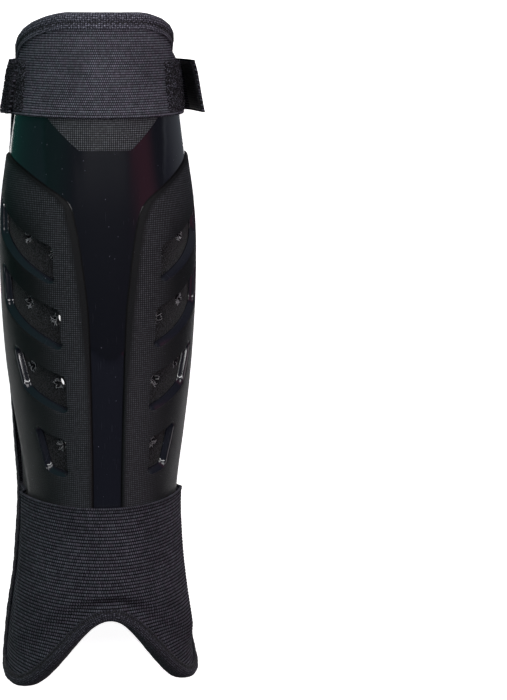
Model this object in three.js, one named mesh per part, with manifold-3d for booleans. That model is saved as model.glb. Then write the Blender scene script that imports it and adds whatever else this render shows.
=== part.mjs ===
// A field hockey shin guard. A foam liner bends round the shin and is bound with tape all round its edge.
// A hard vented shell lies on its front, held by a ribbed cover at the top and a ribbed sleeve at the ankle.
// An elastic strap, fastened on both sides of the cover, is folded inside the hollow.
// The guard lies front up on its two long side edges: X is its width, +Y the knee end, +Z up.
// Places on it are given by a height along Y, from just below the wing tips, and an angle round the section from the
// ridge.

import * as THREE from "three";
import { mergeVertices } from "three/addons/utils/BufferGeometryUtils.js";
import Module from "manifold-3d";

const wasm = await Module();
wasm.setup();

// Driving dimensions, in millimetres and degrees
const LENGTH = 332;
const EDGE_HEIGHT = 1.2;
const GAP = 0.3;

const LINER = { thickness: 6, edgeThickness: 4.4, flatRim: 8.3, rimRamp: 4, holeDiameter: 5 };
const ARCH = { low: 4.2, height: 40, tipAt: 0.77, roundness: 3.2, tipRise: 13 };
const TOP = { cornerAt: 0.28, cornerDrop: 20, bulge: 1.4 };
const SHELL = { gap: 0.5, thickness: 2.2, panelRaise: 1, lowEdge: 58, lowSweep: 26, topInset: 12 };
const CLOTH = { thickness: 1.05, coverHem: 285, sleeveTop: 100, sideAt: 0.985, endInset: 1, pastShell: 1.8 };
const BINDING = { frontFlap: 6, backFlap: 7.5, tape: 1.1, edgeGap: 0.4, outside: 1.65, inside: -5.4 };
const STRAP = { width: 25, thickness: 1.5, middle: 298.5, edgeLift: 2.7 };
const LOOP = { thickness: 1.4, height: 23.5, leftFrom: 61, rightFrom: 46, toAngle: 86 };
const HOOK = { thickness: 1, width: 23, inset: 1.5, length: 20 };
const LABEL = { width: 24, height: 12, thickness: 0.8, angle: -12, low: 272 };

// Sections of the liner's outer face: half its width, the height of its ridge, the height at which it is
// widest, and the angle at which the hard shell ends
const SECTIONS = [
  { height: 0, halfWidth: 47.5, ridge: 65, belly: 8, shellAngle: 60 },
  { height: 30, halfWidth: 44, ridge: 62, belly: 5, shellAngle: 60 },
  { height: 62, halfWidth: 39.5, ridge: 59, belly: 3.5, shellAngle: 60 },
  { height: 98, halfWidth: 37.4, ridge: 60, belly: 5, shellAngle: 63 },
  { height: 132, halfWidth: 39.6, ridge: 64, belly: 11, shellAngle: 72 },
  { height: 168, halfWidth: 42.4, ridge: 68, belly: 17, shellAngle: 86 },
  { height: 204, halfWidth: 44, ridge: 71, belly: 20, shellAngle: 92 },
  { height: 238, halfWidth: 43.6, ridge: 71, belly: 20, shellAngle: 92 },
  { height: 268, halfWidth: 40, ridge: 69, belly: 18, shellAngle: 87 },
  { height: 304, halfWidth: 36, ridge: 66, belly: 16, shellAngle: 76 },
  { height: 334, halfWidth: 34, ridge: 64, belly: 16, shellAngle: 70 },
];

// Edge between the smooth recessed stripe and the raised side panels of the shell
const STRIPE = [
  { height: 62, angle: 9 },
  { height: 98, angle: 9 },
  { height: 134, angle: 9 },
  { height: 192, angle: 10.3 },
  { height: 211, angle: 12.5 },
  { height: 228, angle: 15.4 },
  { height: 238, angle: 18 },
  { height: 244, angle: 21 },
  { height: 248, angle: 25.5 },
  { height: 253, angle: 36.5 },
  { height: 261, angle: 59.5 },
  { height: 266, angle: 82 },
];

// Vents of one side: an inner edge and a slanted outer edge, each with its top and its foot
const VENTS = [
  { inAngle: 32.5, inTop: 225.5, inFoot: 210, outTopAngle: 83, outTop: 245, outFootAngle: 79, outFoot: 230.5 },
  { inAngle: 28.5, inTop: 196, inFoot: 179, outTopAngle: 76, outTop: 214.5, outFootAngle: 72, outFoot: 196 },
  { inAngle: 26.3, inTop: 164.5, inFoot: 148.3, outTopAngle: 64, outTop: 176, outFootAngle: 56, outFoot: 158.3 },
  { inAngle: 27.5, inTop: 133, inFoot: 116.5, outTopAngle: 48.5, outTop: 138, outFootAngle: 41, outFoot: 119 },
];
const VENT_CUT = { low: -3, high: 8, lowScale: 0.95, highScale: 1.25, corner: 0.28, steps: 2 };

// Rows of round holes through the foam, behind the vents
const HOLE_ROWS = [
  { angle: 33, first: 129.5, pitch: 30.8, count: 4, depth: 9 },
  { angle: 54, first: 167, pitch: 31, count: 3, depth: 9 },
];

// Route of the middle of the strap at its level, from the free end on the right, round both side edges
const STRAP_ROUTE = [
  { x: 48.2, z: 33.5 },
  { x: 47.4, z: 26 },
  { x: 46.2, z: 16 },
  { x: 44.6, z: 8 },
  { x: 41, z: 2.2 },
  { x: 36, z: 0.8 },
  { x: 30.4, z: 0.9 },
  { x: 26.6, z: 4.2 },
  { x: 26, z: 12 },
  { x: 26.4, z: 24 },
  { x: 23, z: 38 },
  { x: 16.6, z: 48.4 },
  { x: 8, z: 54.8 },
  { x: -2, z: 55.6 },
  { x: -11, z: 52 },
  { x: -14.5, z: 45 },
  { x: -11, z: 38 },
  { x: -2, z: 32 },
  { x: 7, z: 26 },
  { x: 11.5, z: 18 },
  { x: 9, z: 10 },
  { x: 0, z: 5.6 },
  { x: -14, z: 3 },
  { x: -26, z: 1.4 },
  { x: -36, z: 0.8 },
  { x: -41, z: 2.2 },
  { x: -44.6, z: 8 },
  { x: -46, z: 16 },
  { x: -45.6, z: 25 },
  { x: -43.6, z: 33.5 },
];

const GRID = {
  columnsToTip: 10,
  tipColumns: [0.3, 0.62, 0.88, 1],
  linerRows: 16,
  shellColumns: 20,
  shellRows: 14,
  panelColumns: 5,
  panelStep: 14,
  strapStep: 5,
  holeSides: 8,
};

const CLOTH_BLACK = new THREE.Color(0x1d1e20);

const radians = THREE.MathUtils.degToRad;
const mix = THREE.MathUtils.lerp;
const smooth = THREE.MathUtils.smoothstep;

// Value of one column of a table at a height, on a smooth curve through its rows
function along(rows, column, height) {
  const last = rows.length - 1;
  let i = 0;
  while (i < last - 1 && height > rows[i + 1].height) i += 1;
  const slope = (k) => {
    const before = rows[Math.max(k - 1, 0)];
    const after = rows[Math.min(k + 1, last)];
    return (after[column] - before[column]) / (after.height - before.height);
  };
  const span = rows[i + 1].height - rows[i].height;
  const t = THREE.MathUtils.clamp((height - rows[i].height) / span, 0, 1);
  const startWeight = (1 + 2 * t) * (1 - t) ** 2;
  const endWeight = t * t * (3 - 2 * t);
  const slopes = slope(i) * t * (1 - t) ** 2 - slope(i + 1) * t * t * (1 - t);
  return rows[i][column] * startWeight + rows[i + 1][column] * endWeight + slopes * span;
}

// Angle of the liner's side edge, which the strap lifts off the table at the top end
function edgeAngle(height) {
  const belly = along(SECTIONS, "belly", height);
  const depth = along(SECTIONS, "ridge", height) - belly;
  const below = STRAP.middle - STRAP.width / 2;
  const lift = STRAP.edgeLift * smooth(height, below - 14, below - 3);
  return Math.acos((EDGE_HEIGHT + lift - belly) / depth);
}

// Point of the liner's outer face
function skin(angle, height) {
  const belly = along(SECTIONS, "belly", height);
  const depth = along(SECTIONS, "ridge", height) - belly;
  const halfWidth = along(SECTIONS, "halfWidth", height);
  return new THREE.Vector3(halfWidth * Math.sin(angle), height, belly + depth * Math.cos(angle));
}

// Outward direction of the liner's outer face
function outward(angle, height) {
  const turn = 0.01;
  const rise = 0.5;
  const across = skin(angle + turn, height).sub(skin(angle - turn, height));
  const lengthwise = skin(angle, height + rise).sub(skin(angle, height - rise));
  return across.cross(lengthwise).normalize();
}

// Point at a distance above the liner's outer face, or below it if the distance is negative
function lifted(angle, height, lift) {
  return outward(angle, height).multiplyScalar(lift).add(skin(angle, height));
}

// Lower edge of the liner: an arch over the instep between two rounded wing tips
function lowerEdge(side) {
  const s = Math.abs(side);
  if (s <= ARCH.tipAt) return ARCH.low + ARCH.height * (1 - (s / ARCH.tipAt) ** 2) ** ARCH.roundness;
  const t = (s - ARCH.tipAt) / (1 - ARCH.tipAt);
  return ARCH.low + ARCH.tipRise * (1 - Math.sqrt(1 - t * t));
}

// Upper edge of the liner: level in the middle, falling away to the two side edges
function upperEdge(side) {
  const t = Math.max(0, (Math.abs(side) - TOP.cornerAt) / (1 - TOP.cornerAt));
  return LENGTH - TOP.cornerDrop * (1 - (1 - t ** TOP.bulge) ** (1 / TOP.bulge));
}

// Half the way round the section, from the ridge to the side edge
function halfGirth(height) {
  const roundness = 1.06;
  return edgeAngle(height) * along(SECTIONS, "halfWidth", height) * roundness;
}

// How much longer a way along Y is than the way square to a slanted edge
function slant(edge, side) {
  const step = 0.01;
  const inner = Math.min(Math.abs(side), 1 - step) - step;
  const slope = (edge(inner + step) - edge(inner)) / (halfGirth(LENGTH / 2) * step);
  return Math.min(Math.hypot(1, slope), 2);
}

// Distance from a place on the liner to its nearest edge, along the surface
function edgeDistance(side, height) {
  const toSide = (1 - Math.abs(side)) * halfGirth(height);
  const toLow = (height - lowerEdge(side)) / slant(lowerEdge, side);
  const toHigh = (upperEdge(side) - height) / slant(upperEdge, side);
  return Math.min(toSide, toLow, toHigh);
}

// Thickness of the foam, which is pinched on the inside under the binding
function foamThickness(side, height) {
  const full = smooth(edgeDistance(side, height), LINER.flatRim, LINER.flatRim + LINER.rimRamp);
  return mix(LINER.edgeThickness, LINER.thickness, full);
}

// Lower edge of the shell, at a part of the way from its ridge to its side edge
function shellLow(part) {
  return SHELL.lowEdge - SHELL.lowSweep * part * part;
}

function shellTop(part) {
  const sideOfCorner = 0.75;
  return upperEdge(part * sideOfCorner) - SHELL.topInset;
}

function shellAngle(height) {
  return radians(along(SECTIONS, "shellAngle", height));
}

// Heights between which the cloth climbs from the foam, at the end of the binding's flap, on to the shell
function clothSteps(side) {
  const flap = BINDING.frontFlap + 2 * GAP;
  const partAt = (height) => Math.min((Math.abs(side) * edgeAngle(height)) / shellAngle(height), 1);
  return {
    lowFoam: lowerEdge(side) + flap * slant(lowerEdge, side),
    lowShell: shellLow(partAt(SHELL.lowEdge)) - CLOTH.pastShell,
    topShell: shellTop(partAt(LENGTH / 2)) + CLOTH.pastShell,
    topFoam: upperEdge(side) - flap * slant(upperEdge, side),
  };
}

// Lift of the inner face of cloth that lies on the shell's raised panels
function liftOnShell() {
  return SHELL.gap + SHELL.thickness + SHELL.panelRaise + GAP;
}

// Lift of the inner face of the cloth: low on the foam, and clear of the hard shell where that lies under it
function clothLift(side, height) {
  const { lowFoam, lowShell, topShell, topFoam } = clothSteps(side);
  const pastSide = Math.abs(side) * edgeAngle(height) - shellAngle(height);
  const overSide = 1 - smooth(pastSide, radians(7), radians(13));
  const overEnds = smooth(height, lowFoam, lowShell) * (1 - smooth(height, topShell, topFoam));
  return mix(GAP, liftOnShell(), overSide * overEnds);
}

// Closed geometry from vertices and triangles
function meshGeometry(vertices, triangles) {
  const geometry = new THREE.BufferGeometry();
  geometry.setAttribute("position", new THREE.Float32BufferAttribute(vertices.flatMap((v) => v.toArray()), 3));
  geometry.setIndex(triangles.flat());
  return geometry;
}

// Sheet with an outer and an inner face, closed all round. place(column, row, outer) gives its points
function sheetGeometry(columns, rows, place) {
  const vertices = [];
  for (const outer of [true, false]) {
    for (let r = 0; r <= rows; r += 1) {
      for (let c = 0; c <= columns; c += 1) vertices.push(place(c, r, outer));
    }
  }
  const innerStart = (columns + 1) * (rows + 1);
  const at = (c, r) => r * (columns + 1) + c;
  const triangles = [];
  for (let r = 0; r < rows; r += 1) {
    for (let c = 0; c < columns; c += 1) {
      const [a, b, d, e] = [at(c, r), at(c + 1, r), at(c + 1, r + 1), at(c, r + 1)];
      triangles.push([a, b, d], [a, d, e]);
      triangles.push([a, d, b].map((i) => i + innerStart), [a, e, d].map((i) => i + innerStart));
    }
  }
  const rim = [];
  for (let c = 0; c < columns; c += 1) rim.push(at(c, 0));
  for (let r = 0; r < rows; r += 1) rim.push(at(columns, r));
  for (let c = columns; c > 0; c -= 1) rim.push(at(c, rows));
  for (let r = rows; r > 0; r -= 1) rim.push(at(0, r));
  rim.forEach((a, i) => {
    const b = rim[(i + 1) % rim.length];
    triangles.push([b, a, a + innerStart], [b, a + innerStart, b + innerStart]);
  });
  return meshGeometry(vertices, triangles);
}

// Ring swept by a closed section round a closed loop. place(station, corner) gives its points
function ringGeometry(stations, corners, place) {
  const vertices = [];
  const triangles = [];
  for (let s = 0; s < stations; s += 1) {
    for (let k = 0; k < corners; k += 1) {
      vertices.push(place(s, k));
      const nextS = ((s + 1) % stations) * corners;
      const nextK = (k + 1) % corners;
      const [a, b, d, e] = [s * corners + k, nextS + k, nextS + nextK, s * corners + nextK];
      triangles.push([a, b, d], [a, d, e]);
    }
  }
  return meshGeometry(vertices, triangles);
}

// Plug between two loops of as many points, each with a centre, for a cut through a wall
function plugGeometry(low, high) {
  const count = low.loop.length;
  const vertices = [...low.loop, ...high.loop, low.centre, high.centre];
  const triangles = [];
  for (let i = 0; i < count; i += 1) {
    const j = (i + 1) % count;
    triangles.push([i, j, count + j], [i, count + j, count + i]);
    triangles.push([j, i, 2 * count], [count + i, count + j, 2 * count + 1]);
  }
  return meshGeometry(vertices, triangles);
}

function toSolid(geometry) {
  const merged = mergeVertices(geometry, 1e-4);
  const vertProperties = new Float32Array(merged.attributes.position.array);
  return new wasm.Manifold(new wasm.Mesh({ numProp: 3, vertProperties, triVerts: new Uint32Array(merged.index.array) }));
}

function fromSolid(solid) {
  const { vertProperties, triVerts } = solid.getMesh();
  const geometry = new THREE.BufferGeometry();
  geometry.setAttribute("position", new THREE.Float32BufferAttribute(vertProperties, 3));
  geometry.setIndex([...triVerts]);
  return geometry;
}

// Columns of the liner, as parts of the way from the ridge to the side edges, closer together at the tips
function linerColumns() {
  const half = [];
  for (let k = 1; k <= GRID.columnsToTip; k += 1) half.push((ARCH.tipAt * k) / GRID.columnsToTip);
  for (const t of GRID.tipColumns) half.push(mix(ARCH.tipAt, 1, t));
  return [...half.map((s) => -s).reverse(), 0, ...half];
}

const SIDES = linerColumns();

// Rows of the liner, as parts of the way from its lower to its upper edge, with one along the flat rim
function linerRows() {
  const rim = 0.028;
  const full = 0.044;
  const rows = [0, rim, full];
  for (let k = 1; k < GRID.linerRows; k += 1) rows.push(mix(full, 1 - full, k / GRID.linerRows));
  return [...rows, 1 - full, 1 - rim, 1];
}

function foamLiner() {
  const rows = linerRows();
  const geometry = sheetGeometry(SIDES.length - 1, rows.length - 1, (c, r, outer) => {
    const side = SIDES[c];
    const height = mix(lowerEdge(side), upperEdge(side), rows[r]);
    return lifted(side * edgeAngle(height), height, outer ? 0 : -foamThickness(side, height));
  });
  let solid = toSolid(geometry);
  for (const row of HOLE_ROWS) {
    for (let k = 0; k < row.count; k += 1) {
      for (const way of [-1, 1]) {
        solid = solid.subtract(toSolid(holePlug(way * radians(row.angle), row.first + k * row.pitch, row.depth)));
      }
    }
  }
  return fromSolid(solid);
}

// Round plug through the foam, square to its face
function holePlug(angle, height, depth) {
  const axis = outward(angle, height);
  const geometry = new THREE.CylinderGeometry(LINER.holeDiameter / 2, LINER.holeDiameter / 2, depth + 4, GRID.holeSides);
  geometry.deleteAttribute("normal");
  geometry.deleteAttribute("uv");
  geometry.applyQuaternion(new THREE.Quaternion().setFromUnitVectors(new THREE.Vector3(0, 1, 0), axis));
  const middle = lifted(angle, height, -LINER.thickness / 2);
  return geometry.translate(middle.x, middle.y, middle.z);
}

function shinShell() {
  const inner = SHELL.gap;
  const outerFace = SHELL.gap + SHELL.thickness;
  const plate = sheetGeometry(GRID.shellColumns, GRID.shellRows, (c, r, outer) => {
    const part = (2 * c) / GRID.shellColumns - 1;
    const height = mix(shellLow(part), shellTop(part), r / GRID.shellRows);
    return lifted(part * shellAngle(height), height, outer ? outerFace : inner);
  });
  let solid = toSolid(plate);
  for (const way of [-1, 1]) solid = solid.add(toSolid(sidePanel(way)));
  for (const vent of VENTS) {
    for (const way of [-1, 1]) solid = solid.subtract(toSolid(ventPlug(vent, way)));
  }
  return fromSolid(solid);
}

// Raised panel on one side of the shell, from the edge of the stripe to the shell's side edge
function sidePanel(way) {
  const face = SHELL.gap + SHELL.thickness;
  const sunk = face - SHELL.thickness / 2;
  const heights = STRIPE.slice(1).flatMap((row, i) => {
    const pieces = Math.ceil((row.height - STRIPE[i].height) / GRID.panelStep);
    return Array.from({ length: pieces }, (_, k) => mix(STRIPE[i].height, row.height, k / pieces));
  });
  heights.push(STRIPE.at(-1).height);
  const [lowest, waist] = [STRIPE[0].height, STRIPE[1].height];
  return sheetGeometry(GRID.panelColumns, heights.length - 1, (c, r, outer) => {
    const column = (way > 0 ? c : GRID.panelColumns - c) / GRID.panelColumns;
    const height = heights[r];
    const angle = along(STRIPE, "angle", height);
    const to = shellAngle(height) - radians(1);
    const inset = column === 0 && outer ? radians(1.2) : 0;
    const place = mix(radians(angle), to, column) + inset;
    const foot = shellLow(place / shellAngle(height)) + 3;
    const level = height < waist ? THREE.MathUtils.mapLinear(height, lowest, waist, foot, waist) : height;
    return lifted(way * place, level, outer ? face + SHELL.panelRaise : sunk);
  });
}

// Loop with rounded corners through the four corners of a vent, larger at the top than at the foot of the cut
function ventLoop(vent, way, scale, lift) {
  const corners = [
    [vent.inAngle, vent.inFoot],
    [vent.outFootAngle, vent.outFoot],
    [vent.outTopAngle, vent.outTop],
    [vent.inAngle, vent.inTop],
  ].map(([angle, height]) => new THREE.Vector2(angle, height));
  const middle = corners.reduce((sum, p) => sum.add(p), new THREE.Vector2()).divideScalar(corners.length);
  const outline = new THREE.CurvePath();
  corners.forEach((corner, i) => {
    const before = corners[(i + 3) % 4];
    const after = corners[(i + 1) % 4];
    const start = corner.clone().lerp(before, VENT_CUT.corner);
    const end = corner.clone().lerp(after, VENT_CUT.corner);
    outline.add(new THREE.QuadraticBezierCurve(start, corner, end));
    outline.add(new THREE.LineCurve(end, after.clone().lerp(corner, VENT_CUT.corner)));
  });
  const onShell = (p) => {
    const place = p.clone().sub(middle).multiplyScalar(scale).add(middle);
    return lifted(way * radians(place.x), place.y, lift);
  };
  const loop = outline.curves.flatMap((curve) => curve.getPoints(VENT_CUT.steps).slice(1).map(onShell));
  return { loop: way > 0 ? loop : loop.reverse(), centre: onShell(middle) };
}

function ventPlug(vent, way) {
  const low = ventLoop(vent, way, VENT_CUT.lowScale, VENT_CUT.low);
  const high = ventLoop(vent, way, VENT_CUT.highScale, VENT_CUT.high);
  return plugGeometry(low, high);
}

// Sheet of cloth over the liner. levels(side) gives the heights of its rows
function clothGeometry(levels) {
  const sides = [-CLOTH.sideAt, ...SIDES.slice(1, -1), CLOTH.sideAt];
  const heights = sides.map(levels);
  return sheetGeometry(sides.length - 1, heights[0].length - 1, (c, r, outer) => {
    const height = heights[c][r];
    const lift = clothLift(sides[c], height) + (outer ? CLOTH.thickness : 0);
    return lifted(sides[c] * edgeAngle(height), height, lift);
  });
}

function topCover() {
  return clothGeometry((side) => {
    const { topShell, topFoam } = clothSteps(side);
    const overShell = [0, 1 / 3, 2 / 3].map((t) => mix(CLOTH.coverHem, topShell, t));
    return [...overShell, topShell, topFoam, upperEdge(side) - CLOTH.endInset];
  });
}

function ankleSleeve() {
  return clothGeometry((side) => {
    const { lowFoam, lowShell } = clothSteps(side);
    const overShell = [0.2, 0.4, 0.6, 0.8].map((t) => mix(lowShell, CLOTH.sleeveTop, t));
    return [lowerEdge(side) + CLOTH.endInset, lowFoam, lowShell, ...overShell, CLOTH.sleeveTop];
  });
}

// Places of the liner's edge in order, along the arch, up the right, along the top and down the left
function rimPlaces() {
  const rows = linerRows().slice(1, -1);
  const upTheSide = rows.map((v) => mix(lowerEdge(1), upperEdge(1), v));
  const places = SIDES.map((side) => ({ side, height: lowerEdge(side) }));
  places.push(...upTheSide.map((height) => ({ side: 1, height })));
  places.push(...[...SIDES].reverse().map((side) => ({ side, height: upperEdge(side) })));
  places.push(...upTheSide.reverse().map((height) => ({ side: -1, height })));
  return places;
}

// Tape folded over the liner's edge: a section with a slot, given by a distance out past the edge and a lift
function edgeBinding() {
  const { frontFlap, backFlap, tape, edgeGap, outside, inside } = BINDING;
  const bulge = edgeGap + tape * 1.2;
  const shoulder = edgeGap + tape * 0.7;
  const section = [
    { out: -frontFlap, lift: outside },
    { out: edgeGap, lift: outside },
    { out: edgeGap, lift: inside },
    { out: -backFlap, lift: inside },
    { out: -backFlap, lift: inside - tape },
    { out: 0, lift: inside - tape },
    { out: shoulder, lift: inside },
    { out: bulge, lift: mix(inside, outside, 0.3) },
    { out: bulge, lift: mix(inside, outside, 0.7) },
    { out: shoulder, lift: outside },
    { out: 0, lift: outside + tape },
    { out: -frontFlap, lift: outside + tape },
  ];
  const places = rimPlaces().map(({ side, height }) => {
    const angle = side * edgeAngle(height);
    return { point: skin(angle, height), normal: outward(angle, height) };
  });
  return ringGeometry(places.length, section.length, (s, k) => {
    const { point, normal } = places[s];
    const before = places[(s + places.length - 1) % places.length].point;
    const after = places[(s + 1) % places.length].point;
    const out = after.clone().sub(before).cross(normal).normalize();
    const corner = point.clone().addScaledVector(out, section[k].out).addScaledVector(normal, section[k].lift);
    return corner.setZ(Math.max(corner.z, 0));
  });
}

const ROUTE = new THREE.CatmullRomCurve3(STRAP_ROUTE.map(({ x, z }) => new THREE.Vector3(x, 0, z)));
const ROUTE_LENGTH = ROUTE.getLength();

// Strip that stands on its edge along a stretch of the strap's route, between two offsets towards the guard.
// It leans with the tapered sides of the guard, and is flattened where it meets the table
function strapStrip({ start, length, width, near, far }) {
  const steps = Math.ceil(length / GRID.strapStep);
  const halfWidthAt = (height) => along(SECTIONS, "halfWidth", height);
  return sheetGeometry(1, steps, (c, r, outer) => {
    const t = Math.min((start + (length * r) / steps) / ROUTE_LENGTH, 1);
    const point = ROUTE.getPointAt(t);
    const toGuard = new THREE.Vector3(0, 1, 0).cross(ROUTE.getTangentAt(t)).normalize();
    const level = STRAP.middle + width * (c - 0.5);
    const lean = halfWidthAt(level) - halfWidthAt(STRAP.middle);
    const onSide = smooth(Math.abs(point.x), 20, 34) * Math.sign(point.x);
    const corner = point.clone().addScaledVector(toGuard, outer ? far : near);
    return new THREE.Vector3(corner.x + lean * onSide, level, Math.max(corner.z, 0));
  });
}

function calfStrap() {
  const half = STRAP.thickness / 2;
  return strapStrip({ start: 0, length: ROUTE_LENGTH, width: STRAP.width, near: -half, far: half });
}

// Hook patch near one end of the strap, on the face that is turned to the guard
function hookPatch(way) {
  const { thickness, width, inset, length } = HOOK;
  const near = STRAP.thickness / 2 + GAP;
  const start = way > 0 ? inset : ROUTE_LENGTH - inset - length;
  return strapStrip({ start, length, width, near, far: near + thickness });
}

// Loop patch on one side of the cover
function loopPatch(way) {
  const columns = 6;
  const rows = 3;
  const clothTop = liftOnShell() + CLOTH.thickness;
  const from = way > 0 ? LOOP.rightFrom : LOOP.leftFrom;
  return sheetGeometry(columns, rows, (c, r, outer) => {
    const part = way > 0 ? c / columns : 1 - c / columns;
    const angle = radians(mix(from, LOOP.toAngle, part));
    const level = STRAP.middle + LOOP.height * (r / rows - 0.5);
    return lifted(way * angle, level, clothTop + GAP + (outer ? LOOP.thickness : 0));
  });
}

function wovenLabel() {
  const columns = 4;
  const reach = LABEL.width / 2 / (along(SECTIONS, "halfWidth", LABEL.low) - LINER.thickness);
  const lift = -LINER.thickness - GAP;
  return sheetGeometry(columns, 1, (c, r, outer) => {
    const angle = radians(LABEL.angle) + reach * ((2 * c) / columns - 1);
    return lifted(angle, LABEL.low + LABEL.height * r, outer ? lift : lift - LABEL.thickness);
  });
}

const group = new THREE.Group();

function addPiece(name, geometry, { color = CLOTH_BLACK, roughness = 0.95 } = {}) {
  const mesh = new THREE.Mesh(geometry, new THREE.MeshStandardMaterial({ color, roughness, metalness: 0 }));
  mesh.name = name;
  group.add(mesh);
}

addPiece("foam_liner", foamLiner());
addPiece("shin_shell", shinShell(), { color: new THREE.Color(0x17181b), roughness: 0.35 });
addPiece("top_cover", topCover());
addPiece("ankle_sleeve", ankleSleeve());
addPiece("edge_binding", edgeBinding());
addPiece("calf_strap", calfStrap());
addPiece("woven_label", wovenLabel());
for (const [name, way] of [["left", -1], ["right", 1]]) {
  addPiece(`loop_patch_${name}`, loopPatch(way));
  addPiece(`hook_patch_${name}`, hookPatch(way));
}

// The origin is on the table, under the middle of the guard
const box = new THREE.Box3().setFromObject(group);
const middle = box.getCenter(new THREE.Vector3());
group.position.set(-middle.x, -middle.y, -box.min.z);

export default group;
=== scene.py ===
"""Field hockey shin guard: the visual model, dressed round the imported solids.

A foam liner bends round the shin and is bound with tape. A vented shell lies on its front, held by a ribbed
cover at the knee end and a ribbed sleeve at the ankle, and an elastic strap is folded inside the hollow.
Sizes are millimetres on the guard until a mesh is made. A place on it is a height, from just below the
wing tips, and an angle round the section from the ridge.
"""

import logging
import math
from collections.abc import Callable, Sequence
from dataclasses import dataclass, field
from enum import Enum

import bpy
import numpy as np
from mathutils import Matrix, Vector
from mathutils.geometry import delaunay_2d_cdt
from mathutils.kdtree import KDTree


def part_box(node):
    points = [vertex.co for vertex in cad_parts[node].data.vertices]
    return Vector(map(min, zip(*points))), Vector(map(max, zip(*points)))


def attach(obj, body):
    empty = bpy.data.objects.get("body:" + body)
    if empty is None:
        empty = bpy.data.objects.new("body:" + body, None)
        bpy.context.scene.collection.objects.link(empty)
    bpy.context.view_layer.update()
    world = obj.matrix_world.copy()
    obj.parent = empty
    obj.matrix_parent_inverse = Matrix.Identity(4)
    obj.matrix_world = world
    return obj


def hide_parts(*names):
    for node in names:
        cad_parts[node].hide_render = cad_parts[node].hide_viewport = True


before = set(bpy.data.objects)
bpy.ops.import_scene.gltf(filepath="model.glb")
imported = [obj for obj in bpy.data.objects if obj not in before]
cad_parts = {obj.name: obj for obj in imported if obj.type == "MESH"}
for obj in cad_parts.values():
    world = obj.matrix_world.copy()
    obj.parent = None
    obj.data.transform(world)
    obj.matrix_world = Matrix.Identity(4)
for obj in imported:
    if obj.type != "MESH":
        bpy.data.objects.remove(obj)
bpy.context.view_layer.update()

MM = 0.001
BODY = "root"
LOG = logging.getLogger("shin_guard")

Array = np.ndarray
Face = tuple[int, ...]
Marks = dict[str, Array]
Piece = bpy.types.Object
Socket = bpy.types.NodeSocket


def smoothstep(value: Array, low: float | Array, high: float | Array) -> Array:
    """Rises smoothly from 0 where the value is low to 1 where it is high."""
    t = np.clip((value - low) / (high - low), 0.0, 1.0)
    return t * t * (3.0 - 2.0 * t)


def mix(start: Array, end: Array, part: Array) -> Array:
    """Value at a part of the way from start to end."""
    return start + (end - start) * part


def unit(vectors: Array) -> Array:
    """The vectors at a length of 1."""
    return vectors / np.linalg.norm(vectors, axis=-1, keepdims=True)


def way_along(line: Array) -> Array:
    """Distance of each point of a line from its start, along the line."""
    return np.concatenate([[0.0], np.cumsum(np.linalg.norm(np.diff(line, axis=0), axis=1))])


def closed_line(loop: Array) -> Array:
    """A loop that runs back to its start."""
    return np.vstack([loop, loop[:1]])


def past_points(loop: Array) -> Array:
    """Way past each point of a loop, from the point before it to the next."""
    return np.roll(loop, -1, axis=0) - np.roll(loop, 1, axis=0)


def resampled(points: Array, step: float, closed: bool = False) -> Array:
    """Spaces the points of a line evenly.

    Args:
        points: The line's points, one a row.
        step: Greatest distance between the new points.
        closed: Whether the line runs back to its start, which isn't repeated.

    Returns:
        The new points.
    """
    line = closed_line(points) if closed else points
    way = way_along(line)
    count = max(int(math.ceil(way[-1] / step)), 2)
    at = np.linspace(0.0, way[-1], count + 1)
    if closed:
        at = at[:-1]
    return np.stack([np.interp(at, way, line[:, k]) for k in range(line.shape[1])], axis=1)


def inside(points: Array, loop: Array) -> Array:
    """Tells which points of a plane lie inside a closed loop.

    Args:
        points: Points of the plane, one a row.
        loop: The loop's corners in order.

    Returns:
        True for each point inside.
    """
    found = np.zeros(len(points), bool)
    x, y = points[:, 0], points[:, 1]
    for (x0, y0), (x1, y1) in zip(loop, np.roll(loop, -1, axis=0)):
        crosses = (y0 > y) != (y1 > y)
        if y0 != y1:
            found ^= crosses & (x < (x1 - x0) * (y - y0) / (y1 - y0) + x0)
    return found


def nearest(points: Array, line: Array, closed: bool) -> tuple[Array, Array]:
    """Distance of points of a plane from a line.

    Args:
        points: Points of the plane, one a row.
        line: The line's points in order.
        closed: Whether the line runs back to its start.

    Returns:
        Each point's distance, and the place of the nearest stretch as a count of the line's points.
    """
    starts = line if closed else line[:-1]
    ends = np.roll(line, -1, axis=0) if closed else line[1:]
    best = np.full(len(points), np.inf)
    place = np.zeros(len(points))
    for k, (a, b) in enumerate(zip(starts, ends)):
        run = b - a
        t = np.clip((points - a) @ run / max(run @ run, 1e-12), 0.0, 1.0)
        gap = np.linalg.norm(points - a - t[:, None] * run, axis=1)
        closer = gap < best
        best[closer] = gap[closer]
        place[closer] = k + t[closer]
    return best, place


def offset_line(line: Array, distance: float | Array, closed: bool) -> Array:
    """Moves a line of a plane sideways, to its right.

    Args:
        line: The line's points in order.
        distance: How far each point moves.
        closed: Whether the line runs back to its start.

    Returns:
        The moved points.
    """
    run = unit(past_points(line) if closed else np.gradient(line, axis=0))
    aside = np.stack([run[:, 1], -run[:, 0]], axis=1)
    return line + aside * np.broadcast_to(distance, len(line))[:, None]


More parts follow.
